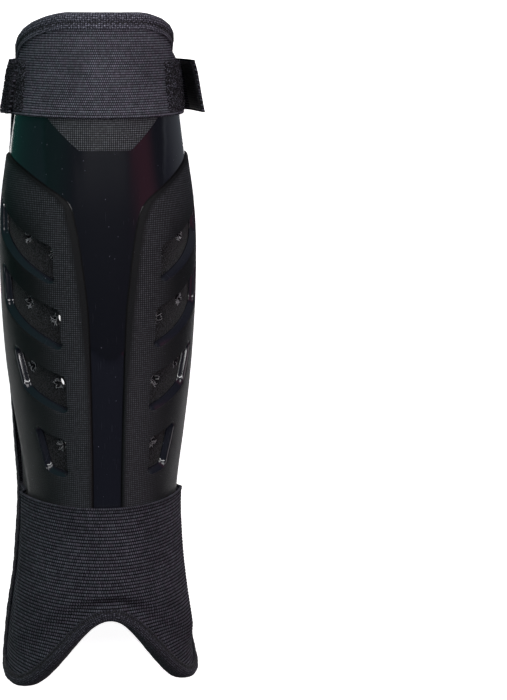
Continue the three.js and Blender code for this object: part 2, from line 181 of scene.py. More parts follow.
@dataclass(frozen=True)
class SmoothTable:
    """Columns of values at heights, read on a smooth curve through the rows."""

    rows: tuple[tuple[float, ...], ...]

    def at(self, column: int, height: Array) -> Array:
        """Reads one column.

        Args:
            column: The column's number, 0 being the heights.
            height: Where it is read.

        Returns:
            The column's values.
        """
        table = np.asarray(self.rows, float)
        heights, values = table[:, 0], table[:, column]
        last = len(heights) - 1
        order = np.arange(last + 1)
        before, after = np.maximum(order - 1, 0), np.minimum(order + 1, last)
        slopes = (values[after] - values[before]) / (heights[after] - heights[before])
        height = np.asarray(height, float)
        i = np.clip(np.searchsorted(heights, height) - 1, 0, last - 1)
        span = heights[i + 1] - heights[i]
        t = np.clip((height - heights[i]) / span, 0.0, 1.0)
        ends = values[i] * (1 + 2 * t) * (1 - t) ** 2 + values[i + 1] * t * t * (3 - 2 * t)
        return ends + span * (slopes[i] * t * (1 - t) ** 2 - slopes[i + 1] * t * t * (1 - t))


class Section(Enum):
    """Columns of the table of the liner's sections."""

    HALF_WIDTH = 1
    RIDGE = 2
    BELLY = 3
    SHELL_ANGLE = 4


@dataclass(frozen=True)
class GuardForm:
    """The liner's outer face, from which every piece is set out."""

    origin: tuple[float, float]
    length: float = 332.0
    edge_height: float = 1.2
    gap: float = 0.3
    arch_low: float = 4.2
    arch_height: float = 40.0
    tip_at: float = 0.77
    arch_roundness: float = 3.2
    tip_rise: float = 13.0
    corner_at: float = 0.28
    corner_drop: float = 20.0
    corner_bulge: float = 1.4
    foam: float = 6.0
    foam_at_edge: float = 4.4
    flat_rim: float = 8.3
    rim_ramp: float = 4.0
    shell_gap: float = 0.5
    shell_wall: float = 2.2
    panel_raise: float = 1.0
    shell_low_edge: float = 58.0
    shell_low_sweep: float = 26.0
    shell_top_inset: float = 12.0
    flap: float = 6.0
    past_shell: float = 1.8
    top_slope: float = 6.0
    strap_low: float = 286.0
    strap_lift: float = 2.7
    strap_run_in: tuple[float, float] = (14.0, 3.0)
    side_slope: tuple[float, float] = (7.0, 13.0)
    foot_flat: float = 0.2
    panel_end: tuple[float, float] = (200.0, 260.0)
    roundness: float = 1.06
    arc: float = 45.0
    sections: SmoothTable = SmoothTable((
        (0, 47.5, 65, 8, 60),
        (30, 44, 62, 5, 60),
        (62, 39.5, 59, 3.5, 60),
        (98, 37.4, 60, 5, 63),
        (132, 39.6, 64, 11, 72),
        (168, 42.4, 68, 17, 86),
        (204, 44, 71, 20, 92),
        (238, 43.6, 71, 20, 92),
        (268, 40, 69, 18, 87),
        (304, 36, 66, 16, 76),
        (334, 34, 64, 16, 70),
    ))

    def column(self, name: Section, height: Array) -> Array:
        """Value of one of the sections' columns at a height."""
        return self.sections.at(name.value, height)

    def edge_angle(self, height: Array) -> Array:
        """Angle of the liner's side edge, which the strap lifts off the table at the knee end."""
        belly = self.column(Section.BELLY, height)
        depth = self.column(Section.RIDGE, height) - belly
        start, end = (self.strap_low - before for before in self.strap_run_in)
        lift = self.strap_lift * smoothstep(height, start, end)
        return np.arccos((self.edge_height + lift - belly) / depth)

    def shell_angle(self, height: Array) -> Array:
        """Angle of the shell's side edge."""
        return np.radians(self.column(Section.SHELL_ANGLE, height))

    def skin(self, angle: Array, height: Array) -> Array:
        """Points of the liner's outer face."""
        belly = self.column(Section.BELLY, height)
        depth = self.column(Section.RIDGE, height) - belly
        x = self.column(Section.HALF_WIDTH, height) * np.sin(angle)
        return np.stack([x, height + 0.0 * angle, belly + depth * np.cos(angle)], axis=-1)

    def outward(self, angle: Array, height: Array) -> Array:
        """Outward directions of the liner's outer face."""
        turn, rise = 0.01, 0.5
        across = self.skin(angle + turn, height) - self.skin(angle - turn, height)
        lengthwise = self.skin(angle, height + rise) - self.skin(angle, height - rise)
        return unit(np.cross(across, lengthwise))

    def lifted(self, angle: Array, height: Array, lift: float | Array) -> Array:
        """Points at a distance above the liner's outer face."""
        return self.skin(angle, height) + self.outward(angle, height) * np.asarray(lift)[..., None]

    def lower_edge(self, side: Array) -> Array:
        """Height of the liner's lower edge: an arch over the instep between two rounded wing tips."""
        s = np.abs(side)
        arch = self.arch_height * np.maximum(1 - (s / self.tip_at) ** 2, 0.0) ** self.arch_roundness
        t = np.clip((s - self.tip_at) / (1 - self.tip_at), 0.0, 1.0)
        return self.arch_low + np.where(s <= self.tip_at, arch, self.tip_rise * (1 - np.sqrt(1 - t * t)))

    def upper_edge(self, side: Array) -> Array:
        """Height of the liner's upper edge: level in the middle, falling away to the sides."""
        t = np.clip((np.abs(side) - self.corner_at) / (1 - self.corner_at), 0.0, 1.0)
        rounded = np.maximum(1 - t**self.corner_bulge, 0.0) ** (1 / self.corner_bulge)
        return self.length - self.corner_drop * (1 - rounded)

    def half_girth(self, height: Array) -> Array:
        """Half the way round the section, from the ridge to the side edge."""
        return self.edge_angle(height) * self.column(Section.HALF_WIDTH, height) * self.roundness

    def slant(self, edge: Callable[[Array], Array], side: Array) -> Array:
        """How much longer a way along Y is than the way square to a slanted edge."""
        step = 0.01
        inner = np.minimum(np.abs(side), 1 - step) - step
        slope = (edge(inner + step) - edge(inner)) / (self.half_girth(self.length / 2) * step)
        return np.minimum(np.hypot(1.0, slope), 2.0)

    def foam_thickness(self, side: Array, height: Array) -> Array:
        """Thickness of the foam, which is pinched under the binding."""
        to_side = (1 - np.abs(side)) * self.half_girth(height)
        to_low = (height - self.lower_edge(side)) / self.slant(self.lower_edge, side)
        to_high = (self.upper_edge(side) - height) / self.slant(self.upper_edge, side)
        gap = np.minimum(to_side, np.minimum(to_low, to_high))
        full = smoothstep(gap, self.flat_rim, self.flat_rim + self.rim_ramp)
        return mix(self.foam_at_edge, self.foam, full)

    def shell_low(self, part: Array) -> Array:
        """Height of the shell's lower edge at a part of the way to its side edge."""
        return self.shell_low_edge - self.shell_low_sweep * part * part

    def shell_top(self, part: Array) -> Array:
        """Height of the shell's upper edge at a part of the way to its side edge."""
        side_of_corner = 0.75
        return self.upper_edge(part * side_of_corner) - self.shell_top_inset

    def cloth_lift(self, side: Array, height: Array) -> Array:
        """Lift of the inner face of cloth: low on the foam, and clear of the shell where that lies below."""
        flap = self.flap + 2 * self.gap
        low_part = np.abs(side) * self.edge_angle(self.shell_low_edge) / self.shell_angle(self.shell_low_edge)
        top_part = np.abs(side) * self.edge_angle(self.length / 2) / self.shell_angle(self.length / 2)
        low_foam = self.lower_edge(side) + flap * self.slant(self.lower_edge, side)
        low_shell = self.shell_low(np.minimum(low_part, 1.0)) - self.past_shell
        top_shell = self.shell_top(np.minimum(top_part, 1.0)) + self.past_shell
        top_foam = self.upper_edge(side) - flap * self.slant(self.upper_edge, side)
        past_side = np.abs(side) * self.edge_angle(height) - self.shell_angle(height)
        over_side = 1 - smoothstep(past_side, *map(math.radians, self.side_slope))
        over_top = 1 - smoothstep(height, top_shell - self.top_slope, top_foam)
        over_low = smoothstep(height, mix(low_foam, low_shell, self.foot_flat), low_shell)
        return mix(self.gap, self.lift_on_shell(height), over_side * (over_low * over_top))

    def lift_on_shell(self, height: Array) -> Array:
        """Lift of the inner face of cloth on the shell, whose panels end below the cover."""
        raised = self.panel_raise * (1 - smoothstep(height, *self.panel_end))
        return self.shell_gap + self.shell_wall + self.gap + raised

    def outline(self, step: float) -> tuple[Array, Array]:
        """Places of the liner's edge: along the arch, up the right, over the top and down the left.

        Args:
            step: Distance between the places.

        Returns:
            Their sides, from -1 to 1, and their heights.
        """
        across = np.sin(np.linspace(-math.pi / 2, math.pi / 2, 801))
        up = np.linspace(self.lower_edge(np.array(1.0)), self.upper_edge(np.array(1.0)), 401)[1:-1]
        side = np.concatenate([across, np.ones(len(up)), -across, -np.ones(len(up))])
        height = np.concatenate([self.lower_edge(across), up, self.upper_edge(across), up[::-1]])
        points = self.skin(side * self.edge_angle(height), height)
        places = resampled(np.column_stack([points, side, height]), step, closed=True)
        return places[:, 3], places[:, 4]

    def placed(self, points: Array) -> Array:
        """Points of the guard in the part's frame, in metres."""
        return (points + np.array([self.origin[0], self.origin[1], 0.0])) * MM


@dataclass
class Patch:
    """Flat outline with holes and crease lines, which is filled with triangles."""

    outline: Array
    step: float
    holes: list[Array] = field(default_factory=list)
    creases: list[Array] = field(default_factory=list)

    def fill(self) -> tuple[Array, list[Face]]:
        """Fills the outline.

        Returns:
            The points of the plane and the triangles, which turn to the left.
        """
        points, edges = [], []
        for loop in [self.outline, *self.holes]:
            first = len(points)
            points.extend(map(tuple, loop))
            edges.extend((first + k, first + (k + 1) % len(loop)) for k in range(len(loop)))
        for line in self.creases:
            first = len(points)
            points.extend(map(tuple, line))
            edges.extend((first + k, first + k + 1) for k in range(len(line) - 1))
        points.extend(map(tuple, self._grid(np.array(points))))
        made = delaunay_2d_cdt([Vector(p) for p in points], edges, [], 0, 1e-5)
        flat = np.array([tuple(v) for v in made[0]])
        corners = np.array([f for f in made[2] if len(f) == 3])
        corners = corners[self._within(flat[corners].mean(axis=1))]
        used, corners = np.unique(corners, return_inverse=True)
        flat, corners = flat[used], corners.reshape(-1, 3)
        a, b, c = (flat[corners[:, k]] for k in range(3))
        turn = (b[:, 0] - a[:, 0]) * (c[:, 1] - a[:, 1]) - (b[:, 1] - a[:, 1]) * (c[:, 0] - a[:, 0])
        corners[turn < 0] = corners[turn < 0][:, ::-1]
        return flat, [tuple(map(int, f)) for f in corners]

    def _within(self, points: Array) -> Array:
        """True for each point of the plane inside the outline and outside the holes."""
        keep = inside(points, self.outline)
        for hole in self.holes:
            keep &= ~inside(points, hole)
        return keep

    def _grid(self, lines: Array) -> Array:
        """Staggered points of the plane that keep clear of the lines.

        Args:
            lines: Points on the outline, the holes and the creases.

        Returns:
            The points inside the outline.
        """
        low, high = self.outline.min(axis=0), self.outline.max(axis=0)
        rows = np.arange(low[1], high[1], self.step * 0.866)
        columns = np.arange(low[0], high[0], self.step)
        grid = np.array([(x + self.step / 2 * (r % 2), y) for r, y in enumerate(rows) for x in columns])
        grid = grid[self._within(grid)]
        tree = KDTree(len(lines))
        for k, point in enumerate(lines):
            tree.insert((point[0], point[1], 0.0), k)
        tree.balance()
        clear = [tree.find((x, y, 0.0))[2] > 0.5 * self.step for x, y in grid]
        return grid[np.array(clear)]


def flipped(faces: Sequence[Face]) -> list[Face]:
    """The faces turned over."""
    return [tuple(reversed(f)) for f in faces]


def closed_sheet(outer: Array, inner: Array, faces: Sequence[Face]) -> tuple[Array, list[Face]]:
    """Closes two faces of a sheet all round, holes too.

    Args:
        outer: Points of the outer face.
        inner: Points of the inner face, in the same order.
        faces: Faces of the outer face.

    Returns:
        The points and the faces of the closed sheet.
    """
    count = len(outer)
    edges = {(f[k], f[(k + 1) % len(f)]) for f in faces for k in range(len(f))}
    rim = sorted((a, b) for a, b in edges if (b, a) not in edges)
    closed = list(faces)
    closed += [tuple(i + count for i in f) for f in flipped(faces)]
    closed += [(b, a, a + count, b + count) for a, b in rim]
    return np.vstack([outer, inner]), closed


def spread(columns: Array, rows: Array) -> tuple[Array, Array, list[Face]]:
    """Spreads a grid of points, column by column.

    Args:
        columns: Value of each column.
        rows: Value of each row.

    Returns:
        The points' column values and row values, and the grid's four-sided faces.
    """
    count = len(rows)
    faces = [
        (c * count + r, (c + 1) * count + r, (c + 1) * count + r + 1, c * count + r + 1)
        for c in range(len(columns) - 1)
        for r in range(count - 1)
    ]
    return np.repeat(columns, count), np.tile(rows, len(columns)), faces


class Sketch:
    """A node tree that is drawn from a script."""

    def __init__(self, tree: bpy.types.NodeTree) -> None:
        """Takes the tree that the nodes go into."""
        self.tree = tree

    def node(self, kind: str, settings: dict | None = None, inputs: dict | None = None) -> bpy.types.Node:
        """Adds a node.

        Args:
            kind: Blender's name of the node's type.
            settings: The node's properties.
            inputs: Values of its sockets, or what is linked to them, by name or number.

        Returns:
            The new node.
        """
        made = self.tree.nodes.new(kind)
        for name, value in (settings or {}).items():
            setattr(made, name, value)
        for key, value in (inputs or {}).items():
            source = value.socket if isinstance(value, Shade) else value
            if isinstance(source, Socket):
                self.tree.links.new(source, made.inputs[key])
            else:
                made.inputs[key].default_value = source
        return made

    def value(self, kind: str, settings: dict | None = None, inputs: dict | None = None,
              out: int | str = 0) -> "Shade":
        """Adds a node and takes one of its outputs as an expression."""
        return Shade(self, self.node(kind, settings, inputs).outputs[out])

    def colour(self, factor: "Shade", first: object, second: object) -> "Shade":
        """Colour between two, by a factor."""
        return self.value("ShaderNodeMix", {"data_type": "RGBA"}, {0: factor, 6: first, 7: second}, 2)

    def noise(self, where: "Shade", scale: float, detail: float = 2.0, roughness: float = 0.5) -> "Shade":
        """Noise with a number of swings to the unit of its coordinates."""
        inputs = {"Vector": where, "Scale": scale, "Detail": detail, "Roughness": roughness}
        return self.value("ShaderNodeTexNoise", {}, inputs)

    def cells(self, where: "Shade", scale: float) -> "Shade":
        """Distance from the nearest of many scattered points."""
        return self.value("ShaderNodeTexVoronoi", {}, {"Vector": where, "Scale": scale})

    def vector(self, x: object = 0.0, y: object = 0.0, z: object = 0.0) -> "Shade":
        """Three values as one vector."""
        return self.value("ShaderNodeCombineXYZ", {}, {0: x, 1: y, 2: z})

    def parts(self, vector: "Shade") -> list["Shade"]:
        """The three values of a vector."""
        return [Shade(self, out) for out in self.node("ShaderNodeSeparateXYZ", {}, {0: vector}).outputs]

    def times(self, vector: "Shade", by: tuple[float, float, float]) -> "Shade":
        """A vector, with each of its values times a number."""
        return self.value("ShaderNodeVectorMath", {"operation": "MULTIPLY"}, {0: vector, 1: by})

    def chance(self, first: "Shade", second: "Shade") -> "Shade":
        """A number from 0 to 1 by chance for each pair of whole numbers."""
        inputs = {"Vector": self.vector(first, second)}
        return self.value("ShaderNodeTexWhiteNoise", {"noise_dimensions": "2D"}, inputs)

    def place(self) -> "Shade":
        """Place on the piece, in millimetres."""
        return self.times(self.value("ShaderNodeTexCoord", out="Object"), (1 / MM,) * 3)

    def laid(self) -> tuple["Shade", "Shade", "Shade"]:
        """Place on the laid-out sheet, in millimetres: the place, its way across and its way up."""
        where = self.times(self.value("ShaderNodeUVMap", {"uv_map": "laid"}), (1 / MM,) * 3)
        across, up, _ = self.parts(where)
        return where, across, up

    def mark(self, name: str) -> "Shade":
        """Value that the mesh carries under a name."""
        return self.value("ShaderNodeAttribute", {"attribute_name": name}, out="Fac")

    def bump(self, height: "Shade", depth: float) -> "Shade":
        """Surface direction bent by a height of so many millimetres."""
        return self.value("ShaderNodeBump", {}, {"Height": height, "Distance": depth * MM}, "Normal")


class Shade:
    """A value in a node tree, which adds the nodes of the sums it is used in."""

    def __init__(self, sketch: Sketch, socket: Socket) -> None:
        """Takes the socket that gives the value."""
        self.sketch = sketch
        self.socket = socket

    def sum(self, operation: str, *terms: object) -> "Shade":
        """Adds a Math node of an operation, with values or numbers as its inputs in order."""
        return self.sketch.value("ShaderNodeMath", {"operation": operation}, dict(enumerate(terms)))

    def __add__(self, other: object) -> "Shade":
        """This and another."""
        return self.sum("ADD", self, other)

    __radd__ = __add__

    def __sub__(self, other: object) -> "Shade":
        """This less another."""
        return self.sum("SUBTRACT", self, other)

    def __rsub__(self, other: object) -> "Shade":
        """Another less this."""
        return self.sum("SUBTRACT", other, self)

    def __mul__(self, other: object) -> "Shade":
        """This times another."""
        return self.sum("MULTIPLY", self, other)

    __rmul__ = __mul__

    def __truediv__(self, other: object) -> "Shade":
        """This over another."""
        return self.sum("DIVIDE", self, other)

    def __pow__(self, other: object) -> "Shade":
        """This to a power."""
        return self.sum("POWER", self, other)

    def __mod__(self, other: object) -> "Shade":
        """What is left of this after whole numbers of another."""
        return self.sum("FLOORED_MODULO", self, other)

    def least(self, other: object) -> "Shade":
        """The smaller of this and another."""
        return self.sum("MINIMUM", self, other)

    def most(self, other: object) -> "Shade":
        """The larger of this and another."""
        return self.sum("MAXIMUM", self, other)

    def floor(self) -> "Shade":
        """The whole number below this."""
        return self.sum("FLOOR", self)

    def wave(self, pitch: float, shift: object = 0.0) -> "Shade":
        """A wave from 0 to 1 with a pitch in this value's units."""
        return self.sum("SINE", self * (2 * math.pi / pitch) + shift) * 0.5 + 0.5

    def step(self, low: float, high: float) -> "Shade":
        """Rises smoothly from 0 at low to 1 at high, or falls where low is the larger."""
        first, last = (0.0, 1.0) if low < high else (1.0, 0.0)
        inputs = {0: self, 1: min(low, high), 2: max(low, high), 3: first, 4: last}
        return self.sketch.value("ShaderNodeMapRange", {"interpolation_type": "SMOOTHSTEP"}, inputs)

    def rib(self, pitch: object) -> "Shade":
        """Round ribs of a pitch: 1 on each crest, falling to 0 in the narrow grooves."""
        across = (self / pitch) % 1.0 * 2.0 - 1.0
        return (1.0 - across * across).most(0.0) ** 0.5


def rgb(red: float, green: float, blue: float) -> tuple[float, float, float, float]:
    """A full colour from its three parts."""
    return (red, green, blue, 1.0)


def grey(value: float, blue: float = 1.28) -> tuple[float, float, float, float]:
    """A grey with a slight cast."""
    return (value, value, value * blue, 1.0)


@dataclass(frozen=True)
class Finish:
    """A surface that is drawn with nodes."""

    name: str

    def surface(self, sketch: Sketch) -> dict:
        """Values and expressions of the shader's sockets, by name, drawn in the sketch's tree."""
        raise NotImplementedError

    def material(self) -> bpy.types.Material:
        """Blender's material of this finish, made once."""
        name = f"finish_{self.name}"
        made = bpy.data.materials.get(name)
        if made:
            return made
        made = bpy.data.materials.new(name)
        made.use_nodes = True
        made.node_tree.nodes.clear()
        sketch = Sketch(made.node_tree)
        shader = sketch.node("ShaderNodeBsdfPrincipled", {}, self.surface(sketch))
        sketch.node("ShaderNodeOutputMaterial", {}, {"Surface": shader.outputs[0]})
        return made


@dataclass(frozen=True)
class RibbedElastic(Finish):
    """Knitted elastic with ribs across the sheet's up direction."""

    pitch: float = 1.3
    knit: float = 1.15
    groove: float = 0.002
    crest: float = 0.17
    valley: float = 0.0

    def surface(self, sketch: Sketch) -> dict:
        """Painted shade in the grooves, and crests broken into stitches of the knit."""
        where, across, up = sketch.laid()
        rib = up.rib(self.pitch)
        row = (up / self.pitch).floor()
        uneven = sketch.noise(where, 0.12, 1.0)
        along = across / self.knit + row * 0.5 + uneven
        stitch = along.rib(1.0).step(0.35, 1.0)
        tone = sketch.chance(along.floor(), row)
        fibre = sketch.noise(where, 3.5, 2.0, 0.7).step(0.25, 0.8)
        wear_and_painted_shade = sketch.noise(where, 0.035, 3.0).step(0.2, 0.9)
        knit = (0.06 + 0.94 * stitch) * (0.6 + 0.4 * tone) * (0.55 + 0.65 * fibre)
        # Painted shade: the grooves take the dark groove colour, for the shade between the ribs.
        light = (self.valley + (1.0 - self.valley) * rib.step(0.5, 0.98)) * knit * (0.75 + 0.5 * wear_and_painted_shade)
        cast = sketch.noise(where, 0.3, 2.0).step(0.35, 0.65)
        yarn = sketch.colour(cast, rgb(self.crest * 0.95, self.crest * 1.02, self.crest * 1.22),
                             rgb(self.crest * 1.05, self.crest * 0.98, self.crest * 1.26))
        return {
            "Base Color": sketch.colour(light.least(1.0), grey(self.groove), yarn),
            "Roughness": 0.95 - 0.2 * light.least(1.0),
            "Normal": sketch.bump(stitch * rib * 0.7 + fibre * 0.3, 0.2),
            "Specular IOR Level": 0.06,
        }


@dataclass(frozen=True)
class BrushedKnit(Finish):
    """Brushed knit on the foam, with loose pale fibres."""

    dark: float = 0.002
    light: float = 0.026
    fleck: float = 0.2

    def surface(self, sketch: Sketch) -> dict:
        """Fine nap with worn patches and a few bright fibres."""
        where = sketch.place()
        nap = sketch.noise(where, 1.4, 3.0, 0.75).step(0.42, 0.72)
        wear_and_painted_shade = sketch.noise(where, 0.045, 3.0)
        fibre = sketch.cells(where, 1.1).step(0.2, 0.08) * sketch.noise(where, 0.7, 1.0).step(0.58, 0.7)
        cloth = sketch.colour(nap * (0.55 + 0.9 * wear_and_painted_shade), grey(self.dark), grey(self.light))
        return {
            "Base Color": sketch.colour(fibre, cloth, grey(self.fleck)),
            "Roughness": 0.95 - 0.12 * nap,
            "Normal": sketch.bump(nap + 0.4 * fibre, 0.2),
            "Specular IOR Level": 0.25,
            "Sheen Weight": 0.1,
        }


@dataclass(frozen=True)
class TapeKnit(Finish):
    """Stretch knit of the binding tape, with fine wales along it, and painted shade towards the foot end."""

    wale: float = 1.0
    course: float = 1.1
    dark: float = 0.004
    light: float = 0.47
    painted_shade_rows: tuple[float, float] = (-110.0, 80.0)

    def surface(self, sketch: Sketch) -> dict:
        """Rows of small loops, fuzzy and paler in patches of wear, with painted shade towards the foot end.
        """
        where, along, across = sketch.laid()
        uneven = sketch.noise(where, 0.8, 2.0)
        loops = (along + uneven * 0.6).wave(self.course) * (across + uneven * 0.4).wave(self.wale)
        fuzz = sketch.noise(where, 1.1, 3.0, 0.75).step(0.38, 0.72)
        wear_and_painted_highlight = sketch.noise(where, 0.06, 3.0)
        height = sketch.parts(sketch.place())[1]
        # Painted shade: the tape darkens towards the foot end, where less light falls on it.
        wear_and_painted_shade = 0.36 + 0.64 * height.step(*self.painted_shade_rows)
        light = (0.16 + 0.84 * loops) * (0.1 + fuzz) * (0.7 + 0.6 * wear_and_painted_highlight) * wear_and_painted_shade
        return {
            "Base Color": sketch.colour(light.least(1.0), grey(self.dark), grey(self.light)),
            "Roughness": 0.94 - 0.14 * light.least(1.0),
            "Normal": sketch.bump(loops * 0.7 + fuzz * 0.6, 0.14),
            "Specular IOR Level": 0.12,
            "Sheen Weight": 0.03,
        }


@dataclass(frozen=True)
class Pile(Finish):
    """Dull fibres of the loop patches and of the hook tape."""

    dark: float = 0.006
    light: float = 0.03
    rough: float = 0.9

    def surface(self, sketch: Sketch) -> dict:
        """Fibres that vary in tone, in tufts."""
        where = sketch.place()
        fibre = sketch.noise(where, 1.25, 3.0, 0.7).step(0.5, 0.74)
        tuft = sketch.noise(where, 0.3, 2.0).step(0.25, 0.7)
        light = fibre * (0.35 + 0.65 * tuft)
        return {
            "Base Color": sketch.colour(light.least(1.0), grey(self.dark), grey(self.light)),
            "Roughness": self.rough - 0.15 * fibre,
            "Normal": sketch.bump(fibre, 0.12),
            "Specular IOR Level": 0.3,
        }


@dataclass(frozen=True)
class Thread(Finish):
    """Uneven plies, paler in places of wear."""

    dark: float = 0.008
    light: float = 0.04
    blue: float = 1.28

    def surface(self, sketch: Sketch) -> dict:
        """Uneven plies, worn paler in places."""
        where = sketch.place()
        ply = sketch.noise(where, 4.0, 2.0, 0.6)
        wear_and_painted_shade = sketch.noise(where, 0.2, 2.0)
        dark, light = grey(self.dark, self.blue), grey(self.light, self.blue)
        return {
            "Base Color": sketch.colour(ply * (0.5 + wear_and_painted_shade), dark, light),
            "Roughness": 0.75 - 0.25 * ply,
            "Normal": sketch.bump(ply, 0.06),
        }


@dataclass(frozen=True)
class LabelWeave(Finish):
    """Bare satin label with woven bars."""

    bar: float = 2.3
    pick: float = 0.32

    def surface(self, sketch: Sketch) -> dict:
        """Fine picks, with a few raised bars along the label."""
        where, across, up = sketch.laid()
        weave = across.wave(self.pick) * up.wave(self.pick, 1.3)
        bar = up.wave(self.bar).step(0.55, 0.8)
        wear_and_painted_shade = sketch.noise(where, 0.4, 3.0)
        light = (0.3 + 0.4 * weave + 0.5 * bar) * (0.6 + 0.7 * wear_and_painted_shade)
        return {
            "Base Color": sketch.colour(light.least(1.0), grey(0.008), grey(0.05)),
            "Roughness": 0.7 - 0.2 * bar,
            "Normal": sketch.bump(weave * 0.4 + bar, 0.12),
            "Sheen Weight": 0.1,
        }


@dataclass(frozen=True)
class ShellPlastic(Finish):
    """Moulded shell: a polished stripe, polished bevels, and satin panels with fine dots near the stripe.

    The trapezoid of dots above the stripe has the height of its foot, half its width there, its flare and its
    middle.
    """

    dot: float = 1.0
    trapezoid: tuple[float, float, float, float] = (270.5, 13.0, 1.22, -1.0)

    def surface(self, sketch: Sketch) -> dict:
        """Polish and satin by the marks on the mesh, with dust and fine scratches."""
        where, across, up = sketch.laid()
        low, half, flare, middle = self.trapezoid
        aside = across - middle
        off = aside.sum("ABSOLUTE", aside)
        mesh = (up - low).step(-0.15, 0.15) * (half - off + (up - low) * flare).step(-0.15, 0.15)
        dotted = sketch.mark("dotted").most(mesh)
        dull = sketch.mark("satin").most(mesh)
        dots = (across.rib(self.dot) * up.rib(self.dot)).step(0.55, 0.95)
        tone = sketch.chance((across / self.dot).floor(), (up / self.dot).floor())
        grain = sketch.noise(where, 2.4, 2.0, 0.7).step(0.3, 0.75)
        smear = sketch.noise(where, 0.06, 3.0)
        speck = sketch.cells(where, 0.33).step(0.085, 0.04) * sketch.noise(where, 0.21, 1.0).step(0.5, 0.6)
        along = sketch.times(where, (1.0, 0.06, 1.0))
        scratch = sketch.noise(along, 1.7, 1.0).step(0.69, 0.74) * (1.0 - dull)
        # Painted shade: a dark line at the foot of the panels' step, beside the stripe.
        painted_edge_shade = sketch.mark("painted_edge_shade") * (1.0 - mesh)
        gloss = sketch.colour(sketch.mark("low"), rgb(0.0024, 0.003, 0.006), rgb(0.006, 0.007, 0.0125))
        plain = sketch.colour(dull, gloss, rgb(0.0036, 0.004, 0.0047))
        # Painted sheen: the satin grain is paler low on the panels and darker higher up, for how the light
        # falls.
        painted_sheen_low = 0.3 + 0.7 * up.step(225.0, 140.0)
        grained = sketch.colour(dull * grain * painted_sheen_low, plain, rgb(0.028, 0.029, 0.0315))
        woven = sketch.colour(mesh, rgb(0.075, 0.079, 0.091), rgb(0.138, 0.145, 0.163))
        dotty = sketch.colour(dotted * dots * (0.55 + 0.45 * tone), grained, woven)
        # Painted highlight: a pale line on the upper lip of each vent, for light caught on its rounded rim.
        wear_and_painted_highlight = sketch.colour(sketch.mark("painted_lip_highlight"), dotty, rgb(0.07, 0.072, 0.076))
        lined = sketch.colour(painted_edge_shade, wear_and_painted_highlight, grey(0.0012))
        colour = sketch.colour((speck * 0.7 + scratch * 0.05).least(1.0), lined, grey(0.16))
        height = dots * dotted * 0.6 + grain * dull * 0.4 + smear * 0.35 * (1.0 - dull)
        return {
            "Base Color": colour,
            "Roughness": 0.76 - 0.24 * dull + 0.06 * smear,
            "Coat Weight": (1.0 - dull) * (1.0 - 0.7 * speck) * (1.0 - painted_edge_shade),
            "Normal": sketch.bump(height, 0.1),
            "Specular IOR Level": 0.13,
            "Coat Roughness": 0.14,
            "Coat IOR": 1.6,
        }


@dataclass(frozen=True)
class FloorPaper(Finish):
    """Plain pale floor that is lit from below, as a light table is."""

    glow: float = 0.95

    def surface(self, sketch: Sketch) -> dict:
        """White paper with a faint tooth."""
        tooth = sketch.noise(sketch.place(), 0.05, 2.0)
        return {
            "Base Color": sketch.colour(tooth, grey(0.86, 1.0), grey(0.9, 1.0)),
            "Roughness": 0.9,
            "Specular IOR Level": 0.1,
            "Emission Color": grey(1.0, 1.0),
            "Emission Strength": self.glow,
        }


